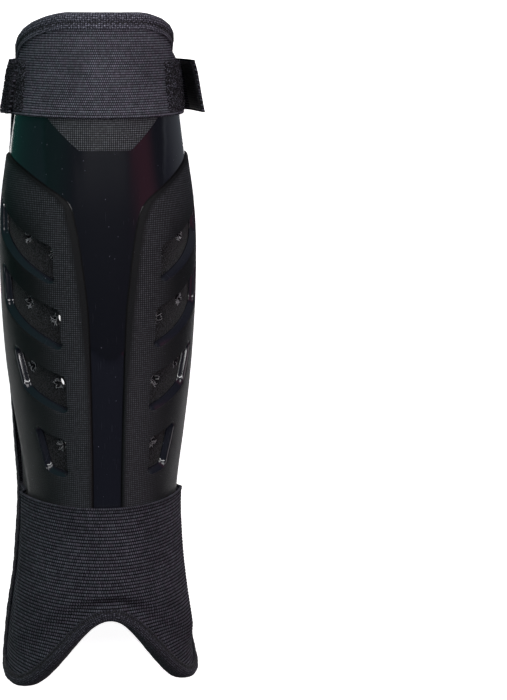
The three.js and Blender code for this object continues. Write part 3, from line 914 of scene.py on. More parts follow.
class Recipe:
    """A Geometry Nodes tree with named sizes, which is run on a mesh and leaves plain geometry."""

    def __init__(self, name: str) -> None:
        """Starts the tree with a mesh going in and one coming out."""
        self.tree = bpy.data.node_groups.new(name, "GeometryNodeTree")
        for way in ("INPUT", "OUTPUT"):
            self.tree.interface.new_socket("Geometry", in_out=way, socket_type="NodeSocketGeometry")
        self.sketch = Sketch(self.tree)
        self.keys: dict[str, str] = {}
        self.start = self.sketch.node("NodeGroupInput")
        self.finish = self._input("Finish", "NodeSocketMaterial")

    def _input(self, name: str, kind: str) -> Socket:
        """Adds a named input and gives its socket."""
        made = self.tree.interface.new_socket(name, in_out="INPUT", socket_type=kind)
        self.keys[name] = made.identifier
        return self.start.outputs[name]

    def sizes(self, *names: str) -> list[Shade]:
        """Adds named numbers."""
        return [Shade(self.sketch, self._input(name, "NodeSocketFloat")) for name in names]

    def seed(self) -> Socket:
        """Adds the seed of what is random."""
        return self._input("Seed", "NodeSocketInt")

    def mesh(self) -> Socket:
        """The mesh that goes in."""
        return self.start.outputs["Geometry"]

    def carried(self, name: str, kind: str = "FLOAT") -> Shade:
        """Value that the mesh carries under a name."""
        return self.sketch.value("GeometryNodeInputNamedAttribute", {"data_type": kind}, {"Name": name})

    def chance(self, low: float, high: float, seed: Socket) -> Shade:
        """A number by chance for each point."""
        inputs = {2: low, 3: high, "Seed": seed}
        return self.sketch.value("FunctionNodeRandomValue", {"data_type": "FLOAT"}, inputs, 1)

    def turned(self, rotation: Shade | Socket, by: Shade) -> Shade:
        """A rotation that is turned further about its own axes."""
        inputs = {0: rotation, 1: by}
        return self.sketch.value("FunctionNodeRotateRotation", {"rotation_space": "LOCAL"}, inputs)

    def arc(self, start: Shade, middle: Shade, end: Shade, steps: int) -> Socket:
        """Bowed line between two ends."""
        inputs = {"Resolution": steps, "Start": start, "Middle": middle, "End": end}
        return self.sketch.node("GeometryNodeCurveQuadraticBezier", {}, inputs).outputs[0]

    def strand(self, line: Socket, radius: Shade, sides: int, caps: bool) -> Socket:
        """Round strand along a line, with or without closed ends."""
        inputs = {"Resolution": sides, "Radius": radius}
        ring = self.sketch.node("GeometryNodeCurvePrimitiveCircle", {}, inputs)
        inputs = {"Curve": line, "Profile Curve": ring.outputs[0], "Fill Caps": caps}
        return self.sketch.node("GeometryNodeCurveToMesh", {}, inputs).outputs[0]

    def close(self, geometry: Socket) -> "Recipe":
        """Realizes what was made, gives it its finish and ends the tree."""
        real = self.sketch.node("GeometryNodeRealizeInstances", {}, {"Geometry": geometry})
        smooth = self.sketch.node("GeometryNodeSetShadeSmooth", {}, {"Geometry": real.outputs[0]})
        inputs = {"Geometry": smooth.outputs[0], "Material": self.finish}
        dressed = self.sketch.node("GeometryNodeSetMaterial", {}, inputs)
        self.sketch.node("NodeGroupOutput", {}, {0: dressed.outputs[0]})
        return self

    def run(self, piece: Piece, finish: Finish, **sizes: float) -> Piece:
        """Runs the tree on a piece and keeps the result as its mesh.

        Args:
            piece: The piece, whose mesh goes in.
            finish: Finish of what comes out.
            sizes: The named sizes.

        Returns:
            The piece.
        """
        modifier = piece.modifiers.new(self.tree.name, "NODES")
        modifier.node_group = self.tree
        modifier[self.keys["Finish"]] = finish.material()
        for name, value in sizes.items():
            modifier[self.keys[name]] = value
        graph = bpy.context.evaluated_depsgraph_get()
        made = bpy.data.meshes.new_from_object(piece.evaluated_get(graph), depsgraph=graph)
        piece.modifiers.remove(modifier)
        spent = piece.data
        piece.data = made
        bpy.data.meshes.remove(spent)
        made.name = piece.name
        return piece


def rib_recipe() -> Recipe:
    """Raises round ribs on a sheet, where it carries the way across them and their weight.

    Returns:
        The recipe, which sinks the grooves into the face.
    """
    recipe = Recipe("ribs")
    sketch = recipe.sketch
    pitch, depth = recipe.sizes("Pitch", "Depth")
    fall = (1.0 - recipe.carried("rib_at").rib(pitch)) * recipe.carried("rib_weight") * depth
    inputs = {0: sketch.value("GeometryNodeInputNormal"), "Scale": fall * -1.0}
    offset = sketch.value("ShaderNodeVectorMath", {"operation": "SCALE"}, inputs)
    moved = sketch.node("GeometryNodeSetPosition", {}, {"Geometry": recipe.mesh(), "Offset": offset})
    return recipe.close(moved.outputs[0])


def stitch_recipe() -> Recipe:
    """Sews stitches along lines that carry the direction of the face they lie on.

    Returns:
        The recipe, whose stitches slant to either side in turn.
    """
    recipe = Recipe("stitches")
    sketch = recipe.sketch
    pitch, length, thread = recipe.sizes("Pitch", "Length", "Thread")
    bow, slant, jitter = recipe.sizes("Bow", "Slant", "Jitter")
    seed = recipe.seed()
    line = sketch.node("GeometryNodeMeshToCurve", {}, {"Mesh": recipe.mesh()})
    inputs = {"Curve": line.outputs[0], "Length": pitch}
    spaced = sketch.node("GeometryNodeResampleCurve", {"mode": "LENGTH"}, inputs)
    axes = {"primary_axis": "Z", "secondary_axis": "X"}
    inputs = {0: recipe.carried("face", "FLOAT_VECTOR"), 1: sketch.value("GeometryNodeInputTangent")}
    lying = sketch.value("FunctionNodeAxesToRotation", axes, inputs)
    odd = sketch.value("GeometryNodeInputIndex") % 2.0
    swing = slant * (1.0 - 2.0 * odd) + jitter * recipe.chance(-1.0, 1.0, seed)
    turned = recipe.turned(lying, sketch.vector(z=swing))
    start, end = (sketch.vector(length * way) for way in (-0.5, 0.5))
    arc = recipe.arc(start, sketch.vector(z=bow * 2.0), end, 4)
    stitch = recipe.strand(arc, thread, 5, caps=True)
    inputs = {"Points": spaced.outputs[0], "Instance": stitch, "Rotation": turned}
    return recipe.close(sketch.node("GeometryNodeInstanceOnPoints", {}, inputs).outputs[0])


def pile_recipe() -> Recipe:
    """Scatters small loops of fibre over the faces of a sheet that carry pile.

    Returns:
        The recipe, whose loops lean and vary in size by chance.
    """
    recipe = Recipe("pile")
    sketch = recipe.sketch
    density, height, fibre = recipe.sizes("Density", "Height", "Fibre")
    seed = recipe.seed()
    inputs = {"Mesh": recipe.mesh(), "Density": density * recipe.carried("pile"), "Seed": seed}
    scattered = sketch.node("GeometryNodeDistributePointsOnFaces", {}, inputs)
    inputs = {0: (-0.7, -0.7, -math.pi), 1: (0.7, 0.7, math.pi), "Seed": seed}
    lean = sketch.value("FunctionNodeRandomValue", {"data_type": "FLOAT_VECTOR"}, inputs)
    turned = recipe.turned(scattered.outputs["Rotation"], lean)
    foot = sketch.vector(height * -0.45, z=height * -0.2)
    crown = sketch.vector(y=height * 0.3, z=height * 1.7)
    end = sketch.vector(height * 0.45, height * 0.25, height * -0.2)
    loop = recipe.strand(recipe.arc(foot, crown, end, 5), fibre, 3, caps=False)
    inputs = {"Points": scattered.outputs["Points"], "Instance": loop, "Rotation": turned}
    inputs["Scale"] = recipe.chance(0.55, 1.3, seed)
    return recipe.close(sketch.node("GeometryNodeInstanceOnPoints", {}, inputs).outputs[0])


def strand_recipe() -> Recipe:
    """Turns lines into round strands.

    Returns:
        The recipe.
    """
    recipe = Recipe("strands")
    (radius,) = recipe.sizes("Radius")
    line = recipe.sketch.node("GeometryNodeMeshToCurve", {}, {"Mesh": recipe.mesh()})
    return recipe.close(recipe.strand(line.outputs[0], radius, 4, caps=True))


class Workshop:
    """Makes pieces from points and faces, dresses them and ties them to the frame."""

    def __init__(self, form: GuardForm) -> None:
        """Takes the guard's form, and draws the recipes that the pieces share."""
        self.form = form
        self.ribs = rib_recipe()
        self.stitches = stitch_recipe()
        self.pile = pile_recipe()
        self.strands = strand_recipe()

    def piece(self, name: str, points: Array, faces: Sequence[Face], finish: Finish,
              laid: Array | None = None, marks: Marks | None = None, edges: Sequence[Face] = ()) -> Piece:
        """Makes a piece.

        Args:
            name: The piece's name.
            points: Its points on the guard.
            faces: Its faces.
            finish: Its finish.
            laid: Each point's place on the laid-out sheet.
            marks: Values that the mesh carries, one a point, or three for a direction.
            edges: Edges of lines that no face has.

        Returns:
            The piece, at the origin of the frame.
        """
        mesh = bpy.data.meshes.new(name)
        mesh.from_pydata(self.form.placed(points).tolist(), list(edges), [list(f) for f in faces])
        if laid is not None and faces:
            corners = np.zeros(len(mesh.loops), np.int32)
            mesh.loops.foreach_get("vertex_index", corners)
            layer = mesh.uv_layers.new(name="laid")
            layer.uv.foreach_set("vector", (laid[corners] * MM).astype(np.float32).ravel())
        for mark, values in (marks or {}).items():
            kind, key = ("FLOAT_VECTOR", "vector") if values.ndim == 2 else ("FLOAT", "value")
            attribute = mesh.attributes.new(mark, kind, "POINT")
            attribute.data.foreach_set(key, values.astype(np.float32).ravel())
        mesh.materials.append(finish.material())
        mesh.shade_smooth()
        made = bpy.data.objects.new(name, mesh)
        bpy.context.scene.collection.objects.link(made)
        return made

    def sheet(self, name: str, outer: Array, inner: Array, faces: Sequence[Face], finish: Finish, laid: Array,
              marks: Marks | None = None, sharp: float = 50.0) -> Piece:
        """Makes a closed piece from its two faces.

        Args:
            name: The piece's name.
            outer: Points of the outer face.
            inner: Points of the inner face, in the same order.
            faces: Faces of the outer face.
            finish: Its finish.
            laid: Each outer point's place on the laid-out sheet.
            marks: Values of the outer points. The inner points have none of them.
            sharp: Least angle between faces that stays a crisp edge, in degrees.

        Returns:
            The piece.
        """
        points, closed = closed_sheet(outer, inner, faces)
        both = {k: np.concatenate([v, np.zeros_like(v)]) for k, v in (marks or {}).items()}
        made = self.piece(name, points, closed, finish, np.vstack([laid, laid]), both)
        made.data.set_sharp_from_angle(angle=math.radians(sharp))
        return made

    def sew(self, name: str, lines: Sequence[tuple[Array, Array]], finish: Finish, slot: str, pitch: float,
            length: float, thread: float = 0.2, bow: float = 0.16, slant: float = 0.0,
            jitter: float = 0.06) -> Piece:
        """Sews rows of stitches.

        Args:
            name: The piece's name.
            lines: The rows, each with its points and the directions of the face under them.
            finish: Finish of the thread.
            slot: Passed on to settle.
            pitch: From stitch to stitch.
            length: Length of a stitch.
            thread: Half the thread's thickness.
            bow: How far a stitch rises off the face.
            slant: Turn of the stitches of a zigzag, to either side, in radians.
            jitter: Greatest chance turn of a stitch, in radians.

        Returns:
            The stitches as one piece.
        """
        face = np.vstack([direction for _, direction in lines])
        made = self._lines(name, [line for line, _ in lines], finish, {"face": face})
        sizes = {"Pitch": pitch * MM, "Length": length * MM, "Thread": thread * MM, "Bow": bow * MM}
        self.stitches.run(made, finish, **sizes, Slant=slant, Jitter=jitter, Seed=7)
        return self.settle(made, slot)

    def spin(self, name: str, lines: Sequence[Array], finish: Finish, slot: str, radius: float) -> Piece:
        """Makes loose strands.

        Args:
            name: The piece's name.
            lines: The strands' middle lines.
            finish: Finish of the strands.
            slot: Passed on to settle.
            radius: Half a strand's thickness.

        Returns:
            The strands as one piece.
        """
        made = self._lines(name, lines, finish, {})
        self.strands.run(made, finish, Radius=radius * MM)
        return self.settle(made, slot)

    def _lines(self, name: str, lines: Sequence[Array], finish: Finish, marks: Marks) -> Piece:
        """Makes a piece of bare lines, for a recipe to work on."""
        edges, first = [], 0
        for line in lines:
            edges += [(first + k, first + k + 1) for k in range(len(line) - 1)]
            first += len(line)
        return self.piece(name, np.vstack(lines), [], finish, marks=marks, edges=edges)

    def settle(self, piece: Piece, slot: str, *nodes: str) -> Piece:
        """Ties a piece to the frame.

        Args:
            piece: The finished piece.
            slot: Not used.
            nodes: The solids that it stands for.

        Returns:
            The piece.
        """
        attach(piece, BODY)
        if nodes:
            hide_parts(*nodes)
        LOG.info("%s: %d faces", piece.name, len(piece.data.polygons))
        return piece


def clipped_grid(sides: Array, rows: Array, low: Array, high: Array) -> tuple[Array, Array, list[Face]]:
    """Grid of level rows that is cut off along two edges.

    Args:
        sides: Sides of the columns.
        rows: Heights of the rows, rising.
        low: Height of the lower cut at each column.
        high: Height of the upper cut at each column.

    Returns:
        The sides and heights of the points, and the faces.
    """
    side_of, height_of, columns = [], [], []
    clear = 0.25 * (rows[1] - rows[0])
    for side, bottom, top in zip(sides, low, high):
        keys = [-1, *np.nonzero((rows > bottom + clear) & (rows < top - clear))[0], len(rows)]
        first = len(side_of)
        side_of += [side] * len(keys)
        height_of += [bottom, *rows[keys[1:-1]], top]
        columns.append(list(zip(keys, range(first, first + len(keys)))))
    faces = []
    for left, right in zip(columns, columns[1:]):
        i = j = 0
        while i < len(left) - 1 or j < len(right) - 1:
            on_left = left[i + 1][0] if i < len(left) - 1 else math.inf
            on_right = right[j + 1][0] if j < len(right) - 1 else math.inf
            a, b = left[i][1], right[j][1]
            if on_left == on_right:
                faces.append((a, b, right[j + 1][1], left[i + 1][1]))
            elif on_left < on_right:
                faces.append((a, b, left[i + 1][1]))
            else:
                faces.append((a, b, right[j + 1][1]))
            i += on_left <= on_right
            j += on_right <= on_left
    return np.array(side_of), np.array(height_of), faces


def rib_rows(low: float, high: float, pitch: float) -> Array:
    """Heights at which round ribs are cut into rows, closest in their grooves."""
    parts = np.array([0.0, 0.1, 0.35, 0.65, 0.9])
    first, last = math.floor(low / pitch), math.ceil(high / pitch)
    rows = (np.arange(first, last)[:, None] + parts).ravel() * pitch
    return rows[(rows >= low) & (rows <= high)]


LINER_KNIT = BrushedKnit("brushed_knit")
# Frayed fibres, near white: painted light for the light that shows through the holes.
FRAY_PAINTED_LIGHT = Thread("frayed_fibre_painted_light", dark=0.2, light=0.9, blue=1.05)
COVER_RIB = RibbedElastic("cover_rib", pitch=1.16, knit=1.05, crest=0.232, valley=0.05)
SLEEVE_RIB = RibbedElastic("sleeve_rib", pitch=1.68, knit=1.12, crest=0.142)
STRAP_RIB = RibbedElastic("strap_rib", pitch=1.2, knit=0.9, crest=0.1)
TAPE = TapeKnit("binding_knit")
SHELL = ShellPlastic("moulded_shell")
LOOPS = Pile("pile_loops", dark=0.003, light=0.45)
HOOKS = Pile("hook_face", dark=0.006, light=0.032, rough=0.6)
LABEL = LabelWeave("label_cloth")
THREAD = Thread("black_thread", dark=0.001, light=0.005)


@dataclass
class FoamLiner:
    """Foam sheet with a brushed knit face, pierced behind the vents."""

    shop: Workshop
    step: float = 3.4
    hole_radius: float = 2.5
    pucker: float = 0.7
    pucker_reach: float = 0.9
    rings: tuple[float, ...] = (1.18, 1.5, 2.1)
    edge_step: float = 2.4
    fibres: int = 16
    fibre: float = 0.07
    hole_rows: tuple[tuple[float, float, float, int], ...] = ((33, 129.5, 30.8, 4), (54, 167, 31, 3))

    def holes(self) -> list[tuple[float, float]]:
        """Angles and heights of the holes."""
        return [
            (way * math.radians(angle), first + k * pitch)
            for angle, first, pitch, count in self.hole_rows
            for k in range(count)
            for way in (-1, 1)
        ]

    def _hole_loop(self, angle: float, height: float, radius: float) -> Array:
        """Loop round a hole on the laid-out sheet."""
        form = self.shop.form
        ends = form.skin(np.array([angle - 0.01, angle + 0.01]), np.array([height, height]))
        stretch = form.arc * 0.02 / np.linalg.norm(ends[1] - ends[0])
        turn = np.linspace(0, 2 * math.pi, 24, endpoint=False)
        middle = np.array([angle * form.arc, height])
        return middle + radius * np.column_stack([np.cos(turn) * stretch, np.sin(turn)])

    def build(self) -> None:
        """Makes the liner as one closed piece, and the loose fibres round its holes."""
        form = self.shop.form
        side, height = form.outline(self.edge_step)
        outline = np.column_stack([side * form.edge_angle(height) * form.arc, height])
        holes = self.holes()
        loops = [self._hole_loop(a, h, self.hole_radius) for a, h in holes]
        rings = [self._hole_loop(a, h, self.hole_radius * k) for a, h in holes for k in self.rings]
        flat, faces = Patch(outline, self.step, loops, [closed_line(ring) for ring in rings]).fill()
        angle, level = flat[:, 0] / form.arc, flat[:, 1]
        part = np.clip(angle / form.edge_angle(level), -1.0, 1.0)
        sink = np.zeros(len(flat))
        for loop in loops:
            near = np.linalg.norm(flat - loop.mean(axis=0), axis=1) < 4 * self.hole_radius
            gap, _ = nearest(flat[near], loop, closed=True)
            sink[near] = np.maximum(sink[near], self.pucker * np.exp(-gap / self.pucker_reach))
        wave = 0.12 * np.sin(level / 7.0 + 2.0 * np.sin(angle * 3.0)) * np.cos(angle * 9.0)
        outer = form.lifted(angle, level, -sink)
        inner = form.lifted(angle, level, sink + wave - form.foam_thickness(part, level))
        for face in (outer, inner):
            face[:, 2] = np.maximum(face[:, 2], 0.0)
        made = self.shop.sheet("foam_liner_pad", outer, inner, faces, LINER_KNIT, flat, sharp=75.0)
        self.shop.settle(made, "liner_knit", "foam_liner")
        # The fibres round the holes are near white, painted light for the light seen through them.
        self.shop.spin("liner_hole_fray", self._fray(holes), FRAY_PAINTED_LIGHT, "liner_knit", self.fibre)

    def _fray(self, holes: list[tuple[float, float]]) -> list[Array]:
        """Loose fibres that the punch left round each hole.

        Args:
            holes: Angles and heights of the holes.

        Returns:
            The fibres' lines.
        """
        form = self.shop.form
        chance = np.random.default_rng(21)
        t = np.linspace(0, 1, 5)
        lines = []
        for angle, height in holes:
            for _ in range(self.fibres):
                turn = chance.uniform(0, 2 * math.pi) + chance.uniform(-1.1, 1.1) * t
                reach = self.hole_radius * mix(chance.uniform(0.85, 1.35), chance.uniform(0.1, 0.9), t)
                sag = mix(0.25, chance.uniform(-1.6, 0.2), t) + 0.35 * np.sin(math.pi * t)
                width = form.column(Section.HALF_WIDTH, np.array(height))
                around, level = angle + reach * np.cos(turn) / width, height + reach * np.sin(turn)
                lines.append(form.lifted(around, level, sag))
        return lines


@dataclass(frozen=True)
class Vent:
    """A slanted window of the shell: angles and heights of its inner edge and of its outer edge.

    The bevel at the outer end has a steep face: the parts of the way out where that starts and ends, and how
    far the bevel has climbed there.
    """

    in_angle: float
    in_top: float
    in_foot: float
    out_top_angle: float
    out_top: float
    out_foot_angle: float
    out_foot: float
    face: tuple[float, float, float, float] = (0.44, 0.57, 0.444, 0.817)
    corner: float = 1.5
    broad: float = 2.2
    end: float = 2.2
    narrow: float = 0.45
    smoothing: int = 6

    def loop(self, form: GuardForm, way: int) -> Array:
        """Closed loop of the window on the laid-out shell, with round corners.

        Args:
            form: The guard's form.
            way: 1 for the right side and -1 for the left.

        Returns:
            Points of the loop, turning to the left.
        """
        corners = np.array([
            (self.in_angle, self.in_foot),
            (self.out_foot_angle, self.out_foot),
            (self.out_top_angle, self.out_top),
            (self.in_angle, self.in_top),
        ]) * np.array([math.radians(form.arc), 1.0])
        points = []
        for k, corner in enumerate(corners):
            ends = []
            for other in (corners[k - 1], corners[(k + 1) % 4]):
                run = other - corner
                ends.append(corner + run / np.linalg.norm(run) * self.corner * 1.4)
            t = np.linspace(0, 1, 9)[:, None]
            points.append((1 - t) ** 2 * ends[0] + 2 * t * (1 - t) * corner + t * t * ends[1])
        loop = resampled(np.vstack(points), 0.75, closed=True)
        loop[:, 1] += self._bow(loop)
        return loop if way > 0 else (loop * np.array([-1.0, 1.0]))[::-1]

    def _bow(self, loop: Array) -> Array:
        """Slight sag of the long edges, which curve upward to the outer end."""
        part = (loop[:, 0] - loop[:, 0].min()) / np.ptp(loop[:, 0])
        return -0.04 * np.ptp(loop[:, 0]) * np.sin(math.pi * part)

    def rim(self, loop: Array, way: int) -> tuple[Array, Array, Array]:
        """Outer edge of the bevel round the window: narrow above and inside, broad below and outside.

        Args:
            loop: The window's loop.
            way: 1 for the right side and -1 for the left.

        Returns:
            For each point of the loop a point of the edge, and how far that is at the outer end and at the
            upper edge.
        """
        run = unit(past_points(loop))
        out_aside, out_up = run[:, 1] * way, -run[:, 0]
        below = smoothstep(-out_up, 0.1, 0.7)
        outer = smoothstep(out_aside, 0.4, 0.9)
        width = np.maximum(mix(self.narrow, self.broad, below), mix(self.narrow, self.end, outer))
        for _ in range(self.smoothing):
            width = (np.roll(width, 1) + 2 * width + np.roll(width, -1)) / 4
        return offset_line(loop, width, closed=True), outer, smoothstep(out_up, 0.3, 0.7)

    def climb(self, part: Array, outer: Array) -> Array:
        """How far the bevel has climbed from the window's edge to the panel.

        Args:
            part: Place of each point on the bevel, 0 at the window's edge to 1 at the outer edge.
            outer: How far it is at the outer end, where a steep face lies under the panel's rounded edge.

        Returns:
            0 at the window's edge to 1 on the panel.
        """
        foot, top, low, high = self.face
        faced = np.interp(part, (0.0, foot, top, 1.0), (0.0, low, high, 1.0))
        return mix(1 - (1 - part) ** 1.2, faced, outer)


@dataclass
class ShinShell:
    """Hard plate on the front: a smooth stripe between raised side panels, with four vents on each side."""

    shop: Workshop
    step: float = 2.1
    sill: float = 0.75
    bevel: float = 3.2
    flare_bevel: float = 1.5
    low_bevel: float = 1.1
    wall: float = 0.3
    groove: float = 0.5
    top_taper: float = 0.8
    taper_reach: float = 6.0
    taper_rows: tuple[float, float] = (286.0, 294.0)
    crease_depth: float = 0.14
    edge_drop: float = 0.9
    edge_round: float = 1.2
    bevel_rows: tuple[float, float] = (150.0, 200.0)
    flare_rows: tuple[float, float] = (238.0, 252.0)
    shift_rows: tuple[float, float] = (236.0, 250.0)
    polish_from: float = 0.93
    dots_reach: float = 24.0
    step_at: float = 171.5
    step_sag: float = 4.5
    step_depth: float = 0.45
    step_half: float = 7.0
    stripe: SmoothTable = SmoothTable((
        (40, 9.4), (62, 9), (98, 9), (134, 9), (192, 10.3), (211, 12.5), (228, 15.4), (238, 18), (244, 21),
        (248, 25.5), (253, 36.5), (261, 59.5), (266, 82), (268.5, 95),
    ))
    stripe_shift: tuple[float, float] = (1.4, -0.7)
    vents: tuple[Vent, ...] = (
        Vent(32.5, 225.5, 210, 83, 245, 79, 230.5),
        Vent(28.5, 196, 179, 76, 214.5, 72, 196),
        Vent(26.3, 164.5, 148.3, 64, 176, 56, 158.3),
        Vent(27.5, 133, 116.5, 48.5, 138, 41, 119, face=(0.7, 0.79, 0.53, 0.94), end=1.6),
    )

    def outline(self) -> Array:
        """Edge of the shell on the laid-out plane."""
        form = self.shop.form
        part = np.linspace(-1, 1, 121)
        low = np.column_stack([part, form.shell_low(part)])
        top = np.column_stack([part[::-1], form.shell_top(part[::-1])])
        rows = np.linspace(0, 1, 161)[1:-1]
        right = np.column_stack([np.ones(len(rows)), mix(low[-1, 1], top[0, 1], rows)])
        left = np.column_stack([-np.ones(len(rows)), mix(top[-1, 1], low[0, 1], rows)])
        edge = np.vstack([low, right, top, left])
        edge[:, 0] *= form.shell_angle(edge[:, 1]) * form.arc
        return resampled(edge, 1.1, closed=True)

    def stripe_line(self, way: int) -> Array:
        """Edge of the stripe on one side, from the foot up, with the panel to its right."""
        form = self.shop.form
        table = np.asarray(self.stripe.rows)
        height = np.linspace(table[0, 0], table[-1, 0], 600)
        shift = self.stripe_shift[0 if way < 0 else 1] * (1 - smoothstep(height, *self.shift_rows))
        angle = np.radians(self.stripe.at(1, height) + shift)
        line = resampled(np.column_stack([angle * form.arc, height]), 0.9)
        return line if way > 0 else (line * np.array([-1.0, 1.0]))

    def _past_stripe(self, flat: Array, way: int, line: Array) -> Array:
        """Distance of points into the side panel, below 0 on the stripe."""
        gap, _ = nearest(flat, line, closed=False)
        order = np.argsort(line[:, 1])
        edge = np.interp(flat[:, 1], line[order, 1], np.abs(line[order, 0]))
        on_panel = (flat[:, 0] * way > edge) & (flat[:, 1] < line[:, 1].max())
        return np.where(on_panel, gap, -gap)

    def build(self) -> None:
        """Makes the shell as one closed piece."""
        form = self.shop.form
        outline = self.outline()
        lines = {way: self.stripe_line(way) for way in (-1, 1)}
        windows = []
        for vent in self.vents:
            for way in (-1, 1):
                loop = vent.loop(form, way)
                windows.append((vent, loop, *vent.rim(loop, way)))
        creases = []
        for way, line in lines.items():
            bevel = self._bevel(line[:, 1])
            for past in (-self.groove, 0.0, self.wall, 2 * self.wall, 0.55 * bevel, 0.9 * bevel, bevel):
                moved = offset_line(line, way * past, closed=False)
                creases.append(moved[inside(moved, outline)])
        for vent, loop, rim, _, _ in windows:
            foot, top = vent.face[:2]
            for part in (0.5 * foot, foot, (foot + top) / 2, top, 0.94, 1.0):
                creases.append(closed_line(mix(loop, rim, part)))
        creases.append(self._step_line())
        for inset in (0.5, self.edge_round):
            creases.append(closed_line(offset_line(outline, -inset, closed=True)))
        flat, faces = Patch(outline, self.step, [window[1] for window in windows], creases).fill()
        angle, height = flat[:, 0] / form.arc, flat[:, 1]
        lift, marks = self._relief(flat, outline, lines, windows)
        outer = form.lifted(angle, height, lift)
        inner = form.lifted(angle, height, form.shell_gap)
        made = self.shop.sheet("shin_shell_plate", outer, inner, faces, SHELL, flat, marks, sharp=55.0)
        self.shop.settle(made, "shell_plastic", "shin_shell")

    def _relief(self, flat: Array, outline: Array, lines: dict[int, Array],
                windows: list[tuple[Vent, Array, Array, Array, Array]]) -> tuple[Array, Marks]:
        """Works out the moulded face.

        Args:
            flat: Points on the laid-out plane.
            outline: The shell's edge.
            lines: The edges of the stripe, by side.
            windows: The vents with their loops, the outer edges of their bevels and where those lie.

        Returns:
            The lift of each point, and the marks for the finish: satin, dotted, painted shade along the foot
            of the panels' step, painted highlight on the upper lip of the vents, and low part of the stripe.
        """
        form = self.shop.form
        base = form.shell_gap + form.shell_wall
        raised, dotted, painted_edge_shade = (np.zeros(len(flat)) for _ in range(3))
        for way, line in lines.items():
            past = self._past_stripe(flat, way, line)
            bevel = self._bevel(flat[:, 1])
            climb = 0.3 * smoothstep(past, 0.0, self.wall) + 0.7 * smoothstep(past, self.wall, bevel)
            raised = np.maximum(raised, climb)
            fade = 1 - smoothstep(past - bevel, 0.25 * self.dots_reach, self.dots_reach)
            dotted = np.maximum(dotted, smoothstep(past - bevel, -0.1, 0.2) * fade)
            # Painted shade along the foot of the panel's step, from the stripe's edge up its low wall.
            line_end = 1 - smoothstep(past, self.wall, 2 * self.wall)
            painted_edge_shade = np.maximum(painted_edge_shade, smoothstep(past, -self.groove, 0.0) * line_end)
        satin = smoothstep(raised, 0.0, 0.3)
        lift = base + form.panel_raise * raised
        low = self._below_step(flat)
        lift -= self.crease_depth * self._funnel_crease(flat) + self.step_depth * low * (1 - satin)
        painted_lip_highlight = np.zeros(len(flat))
        for vent, loop, rim, outer, upper in windows:
            near = np.all(np.abs(flat - rim.mean(axis=0)) < np.ptp(rim, axis=0) / 2 + 1.0, axis=1)
            near[near] = inside(flat[near], rim)
            from_loop, _ = nearest(flat[near], loop, closed=True)
            from_rim, place = nearest(flat[near], rim, closed=True)
            spot = np.round(place).astype(int) % len(rim)
            t = from_loop / np.maximum(from_loop + from_rim, 1e-9)
            lift[near] = mix(self.sill, lift[near], vent.climb(t, outer[spot]))
            satin[near] *= smoothstep(t, self.polish_from, 1.0)
            dotted[near] *= smoothstep(t, self.polish_from, 1.0)
            # Painted highlight on the upper lip of the vent, which the finish colours pale.
            painted_lip_highlight[near] = np.maximum(painted_lip_highlight[near], upper[spot] * (1 - smoothstep(t, 0.8, 0.95)))
        edge, _ = nearest(flat, outline, closed=True)
        lift -= self.edge_drop * (1 - smoothstep(edge, 0.0, self.edge_round))
        taper = self.top_taper * (1 - smoothstep(edge, 0.0, self.taper_reach))
        lift -= taper * smoothstep(flat[:, 1], *self.taper_rows)
        return lift, {"satin": satin, "dotted": dotted, "painted_edge_shade": painted_edge_shade, "painted_lip_highlight": painted_lip_highlight, "low": low}

    def _bevel(self, height: Array) -> Array:
        """Width of the panel's bevel: broad beside the stripe, narrow low down and on the flare above it."""
        beside = mix(self.low_bevel, self.bevel, smoothstep(height, *self.bevel_rows))
        return mix(beside, self.flare_bevel, smoothstep(height, *self.flare_rows))

    def _sag(self, across: Array) -> Array:
        """Rise of the step's rounded end from the middle of the stripe outward."""
        return self.step_sag * (across / self.step_half) ** 2

    def _step_line(self) -> Array:
        """Rounded end of the shallow step, short of the stripe's edges."""
        across = np.linspace(-6.6, 6.6, 25)
        return np.column_stack([across, self.step_at + self._sag(across)])

    def _below_step(self, flat: Array) -> Array:
        """Part of the shallow step down that each point has taken."""
        return 1 - smoothstep(flat[:, 1] - self.step_at - self._sag(flat[:, 0]), -0.1, 0.6)

    def _funnel_crease(self, flat: Array) -> Array:
        """Shallow creases from the foot of the dotted trapezoid down the funnel."""
        form = self.shop.form
        found = np.zeros(len(flat))
        down = np.linspace(0, 1, 40)
        for way, strength in ((-1, 1.0), (1, 0.6)):
            across = way * np.radians(mix(19.5, 11.0, down**0.7)) * form.arc
            line = np.column_stack([across, mix(270.5, 205.0, down)])
            gap, place = nearest(flat, line, closed=False)
            fade = 1 - smoothstep(place / len(line), 0.1, 1.0)
            found = np.maximum(found, strength * fade * np.exp(-((gap / 1.6) ** 2)))
        return found


